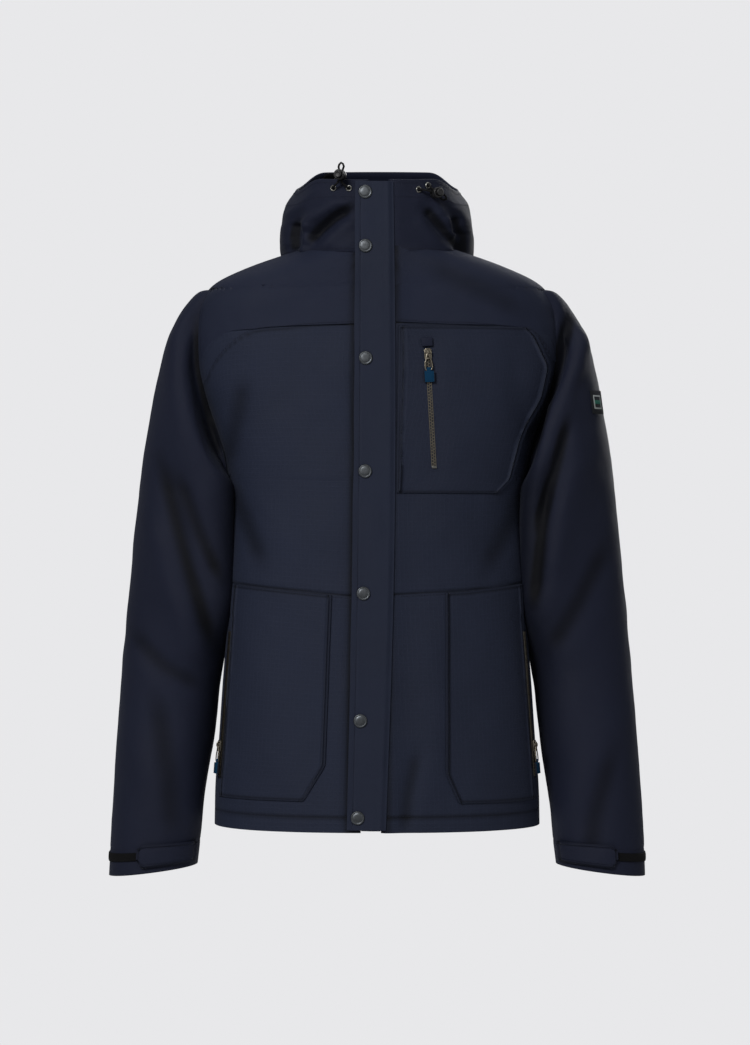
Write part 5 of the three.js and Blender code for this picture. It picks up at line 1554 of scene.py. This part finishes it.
# ---- Hood cord, badge and loop ----
# Both cords' paths from eyelet to eyelet, in metres of the frame.
CORDS = {
    "right": [(-0.04882, -0.13025, 0.0625), (-0.05013, -0.13289, 0.0623), (-0.04953, -0.13546, 0.06325),
              (-0.04777, -0.13737, 0.06466), (-0.04586, -0.13903, 0.0662), (-0.04403, -0.1405, 0.068),
              (-0.0431, -0.1412, 0.07059), (-0.04292, -0.14112, 0.07353), (-0.04257, -0.14122, 0.07647),
              (-0.0423, -0.14129, 0.07941), (-0.04238, -0.14127, 0.08236), (-0.04309, -0.14108, 0.08522),
              (-0.04226, -0.1413, 0.08797), (-0.04024, -0.14183, 0.09002), (-0.0381, -0.14239, 0.08849),
              (-0.03713, -0.14265, 0.08574), (-0.03805, -0.14241, 0.08298), (-0.03894, -0.14217, 0.08018),
              (-0.03926, -0.14209, 0.07724), (-0.03944, -0.14204, 0.07429), (-0.03967, -0.14201, 0.07135),
              (-0.03977, -0.14193, 0.06848), (-0.03786, -0.14142, 0.06628), (-0.0356, -0.14079, 0.06447),
              (-0.03329, -0.13989, 0.06285), (-0.03161, -0.13791, 0.06178), (-0.03136, -0.13497, 0.062)],
    "left": [(0.04647, -0.1312, 0.061), (0.04705, -0.13392, 0.06107), (0.04914, -0.13549, 0.06081),
             (0.05189, -0.1357, 0.0604), (0.05464, -0.13558, 0.05994), (0.05736, -0.13529, 0.05941),
             (0.05999, -0.13482, 0.05867), (0.06224, -0.13376, 0.05743), (0.06456, -0.13277, 0.05624),
             (0.06687, -0.13178, 0.05504), (0.06912, -0.13081, 0.05371), (0.07108, -0.12997, 0.05194),
             (0.07294, -0.12918, 0.05005), (0.07547, -0.1281, 0.0498), (0.07782, -0.12709, 0.05074),
             (0.07729, -0.12732, 0.05336), (0.07568, -0.12801, 0.0555), (0.0732, -0.12907, 0.0561),
             (0.07072, -0.13013, 0.05672), (0.0684, -0.13112, 0.0579), (0.06614, -0.13209, 0.05922),
             (0.06389, -0.13305, 0.06056), (0.06168, -0.13424, 0.06174), (0.06008, -0.13328, 0.06359),
             (0.05922, -0.13125, 0.0653), (0.05809, -0.12892, 0.0662), (0.05681, -0.12645, 0.066)],
}
# Each lock's middle, its own up and its inward direction; then each eyelet's middle and how it leans.
LOCKS = {"right": ((-0.040961, -0.14164, 0.076192), (0.087682, -0.023089, 0.995881), (0.254649, 0.967033, 0)),
         "left": ((0.066388, -0.131983, 0.05716), (0.819645, 0.350822, -0.452886), (-0.393488, 0.91933, 0))}
EYELETS = [((-49.001, -85.219, 68.5), 0.35855), ((-31.443, -89.967, 68.0), 0.1669),
           ((46.63, -86.174, 67.0), -0.32959), ((57.042, -81.398, 72.0), -0.46285)]


# Profiles of (radius, height) for turned parts, in millimetres.
EYELET_RING = [(1.9, -0.9), (2.2, -1.0), (2.25, 0.2), (3.5, 0.3), (3.65, 0.55), (3.6, 0.95), (3.2, 1.4),
               (2.8, 1.58), (2.35, 1.5), (2.05, 1.2), (1.9, 0.8), (1.9, -0.9)]
LOCK_BARREL = [(0, -5), (5.2, -5), (5.7, -4.7), (6, -4.2), (6, 3.1), (5.7, 3.3), (5.7, 3.7), (6, 3.9),
               (6, 4.7), (5.7, 4.9), (5.7, 5.3), (6, 5.5), (6, 7.2), (5.7, 7.7), (5.2, 8), (4.3, 8),
               (4.2, 7.8), (4.2, 2.6), (0, 2.6)]
LOCK_BUTTON = [(0, 6.3), (3.6, 6.3), (3.9, 6.6), (3.9, 11.3), (3.6, 11.9), (2.9, 12.1), (2.4, 11.8),
               (1.2, 11.7), (0, 11.7)]
CORD_DIAMETER = 0.0024


def cord_lock(name):
    """The barrel with its bore and the button in its top."""
    at, up, inward = (Vector(v) for v in LOCKS[name])
    inward = (inward - up * inward.dot(up)).normalized()
    place = axes_place(inward.cross(up), inward, up, at * 1000 + Vector(ORIGIN))
    barrel = turned(f"{name}_lock_barrel", LOCK_BARREL, place, BLACK, f"{name}_cord_lock",
                    (f"{name}_cord_lock",))
    cutter = rounded("cutter", (8.4, 5, 30), place, bevel=1.6)
    bore = barrel.modifiers.new("bore", "BOOLEAN")
    bore.operation = "DIFFERENCE"
    bore.solver = "EXACT"
    bore.object = cutter
    bake(barrel)
    bpy.data.objects.remove(cutter)
    button = turned(f"{name}_button_cap", LOCK_BUTTON, place, BLACK, f"{name}_lock_button",
                    (f"{name}_lock_button",), 28)
    return [barrel, button]


def hood_cords():
    for k, (at, lean) in enumerate(EYELETS, 1):
        place = Matrix.Translation(at) @ Matrix.Rotation(-math.asin(lean), 4, "Z")
        turned(f"eyelet_{k}_ring", EYELET_RING, place, NICKEL, "root", (f"eyelet_{k}",), 36)
    for name, route in CORDS.items():
        curve = bpy.data.curves.new(f"{name}_hood_cord", "CURVE")
        curve.dimensions = "3D"
        curve.bevel_depth = CORD_DIAMETER / 2
        curve.bevel_resolution = 4
        curve.use_fill_caps = True
        line = curve.splines.new("POLY")
        line.points.add(len(route) - 1)
        for point, co in zip(line.points, route):
            point.co = (*co, 1)
        cord = new_piece(f"{name}_hood_cord", curve)
        curve.materials.append(CORD)
        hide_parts(f"{name}_cord")
        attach(cord, "root")
        cord_lock(name)


# Name, size, how far out its middle lies, and surface.
BADGE_LAYERS = (("badge_ground", (24, 1.6, 27), -1.2, BADGE),
                ("badge_border", (16, 1.6, 16), -1.6, BADGE_PALE),
                ("badge_field", (12.6, 1.6, 12.6), -1.8, BADGE),
                ("badge_centre", (12.6, 1.6, 4.4), -2.0, BADGE_GREEN))


def badge():
    """A small woven label with a pale border and a band, laid on the frame's own badge."""
    corners = np.array([v.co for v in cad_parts["sleeve_badge"].data.vertices], float)
    centre = corners.mean(0)
    _, _, axes = np.linalg.svd(corners - centre, full_matrices=False)
    thin = axes[2] if axes[2][1] < 0 else -axes[2]
    up = np.array([0, 0, 1.0]) - thin * thin[2]
    up /= np.linalg.norm(up)
    place = axes_place(-np.cross(up, thin), -thin, up, Vector(centre) * 1000 + Vector(ORIGIN))
    for name, size, out, surface in BADGE_LAYERS:
        piece = rounded(name, size, place @ shift(y=out), bevel=0.35)
        layer = piece.data.uv_layers.new(name="UVMap")
        for loop in piece.data.loops:
            corner = piece.data.vertices[loop.vertex_index].co
            layer.data[loop.index].uv = (corner.x, corner.z)
        finish_piece(piece, surface, "root", ("sleeve_badge",) if name == "badge_ground" else ())


def hang_loop():
    route = [(-20.4, 45.5, -8), (-20.6, 45.6, 2), (-20.2, 45.6, 6.2), (-18.4, 45.6, 7.6), (-10, 45.5, 7.7),
             (0, 45.5, 7.7), (10, 45.5, 7.7), (18.4, 45.6, 7.6), (20.2, 45.6, 6.2), (20.6, 45.6, 2),
             (20.4, 45.5, -8)]
    piece = tube("hang_loop_tape", route, 1.65, sides=10, flat=0.46)
    finish_piece(piece, TAPE, "root", ("hang_loop",))


front_panel("right_front_panel", -1, SHELL)
front_panel("left_front_panel", 1, SHELL_LEFT_SHADED)
back_panel()
yoke()
body_lining()
sleeve("right", -1)
sleeve("left", 1)
hood()
hood_lining()
storm_flap()
snaps()
main_zip()
pocket_zips()
pockets()
for cuff_name, cuff_side in (("right", -1), ("left", 1)):
    cuff_tab(cuff_name, cuff_side)
    cuff_band(cuff_name, cuff_side)
    cuff_facing(cuff_name, cuff_side)
hood_cords()
badge()
hang_loop()
seam_stitches()
build_stitches()
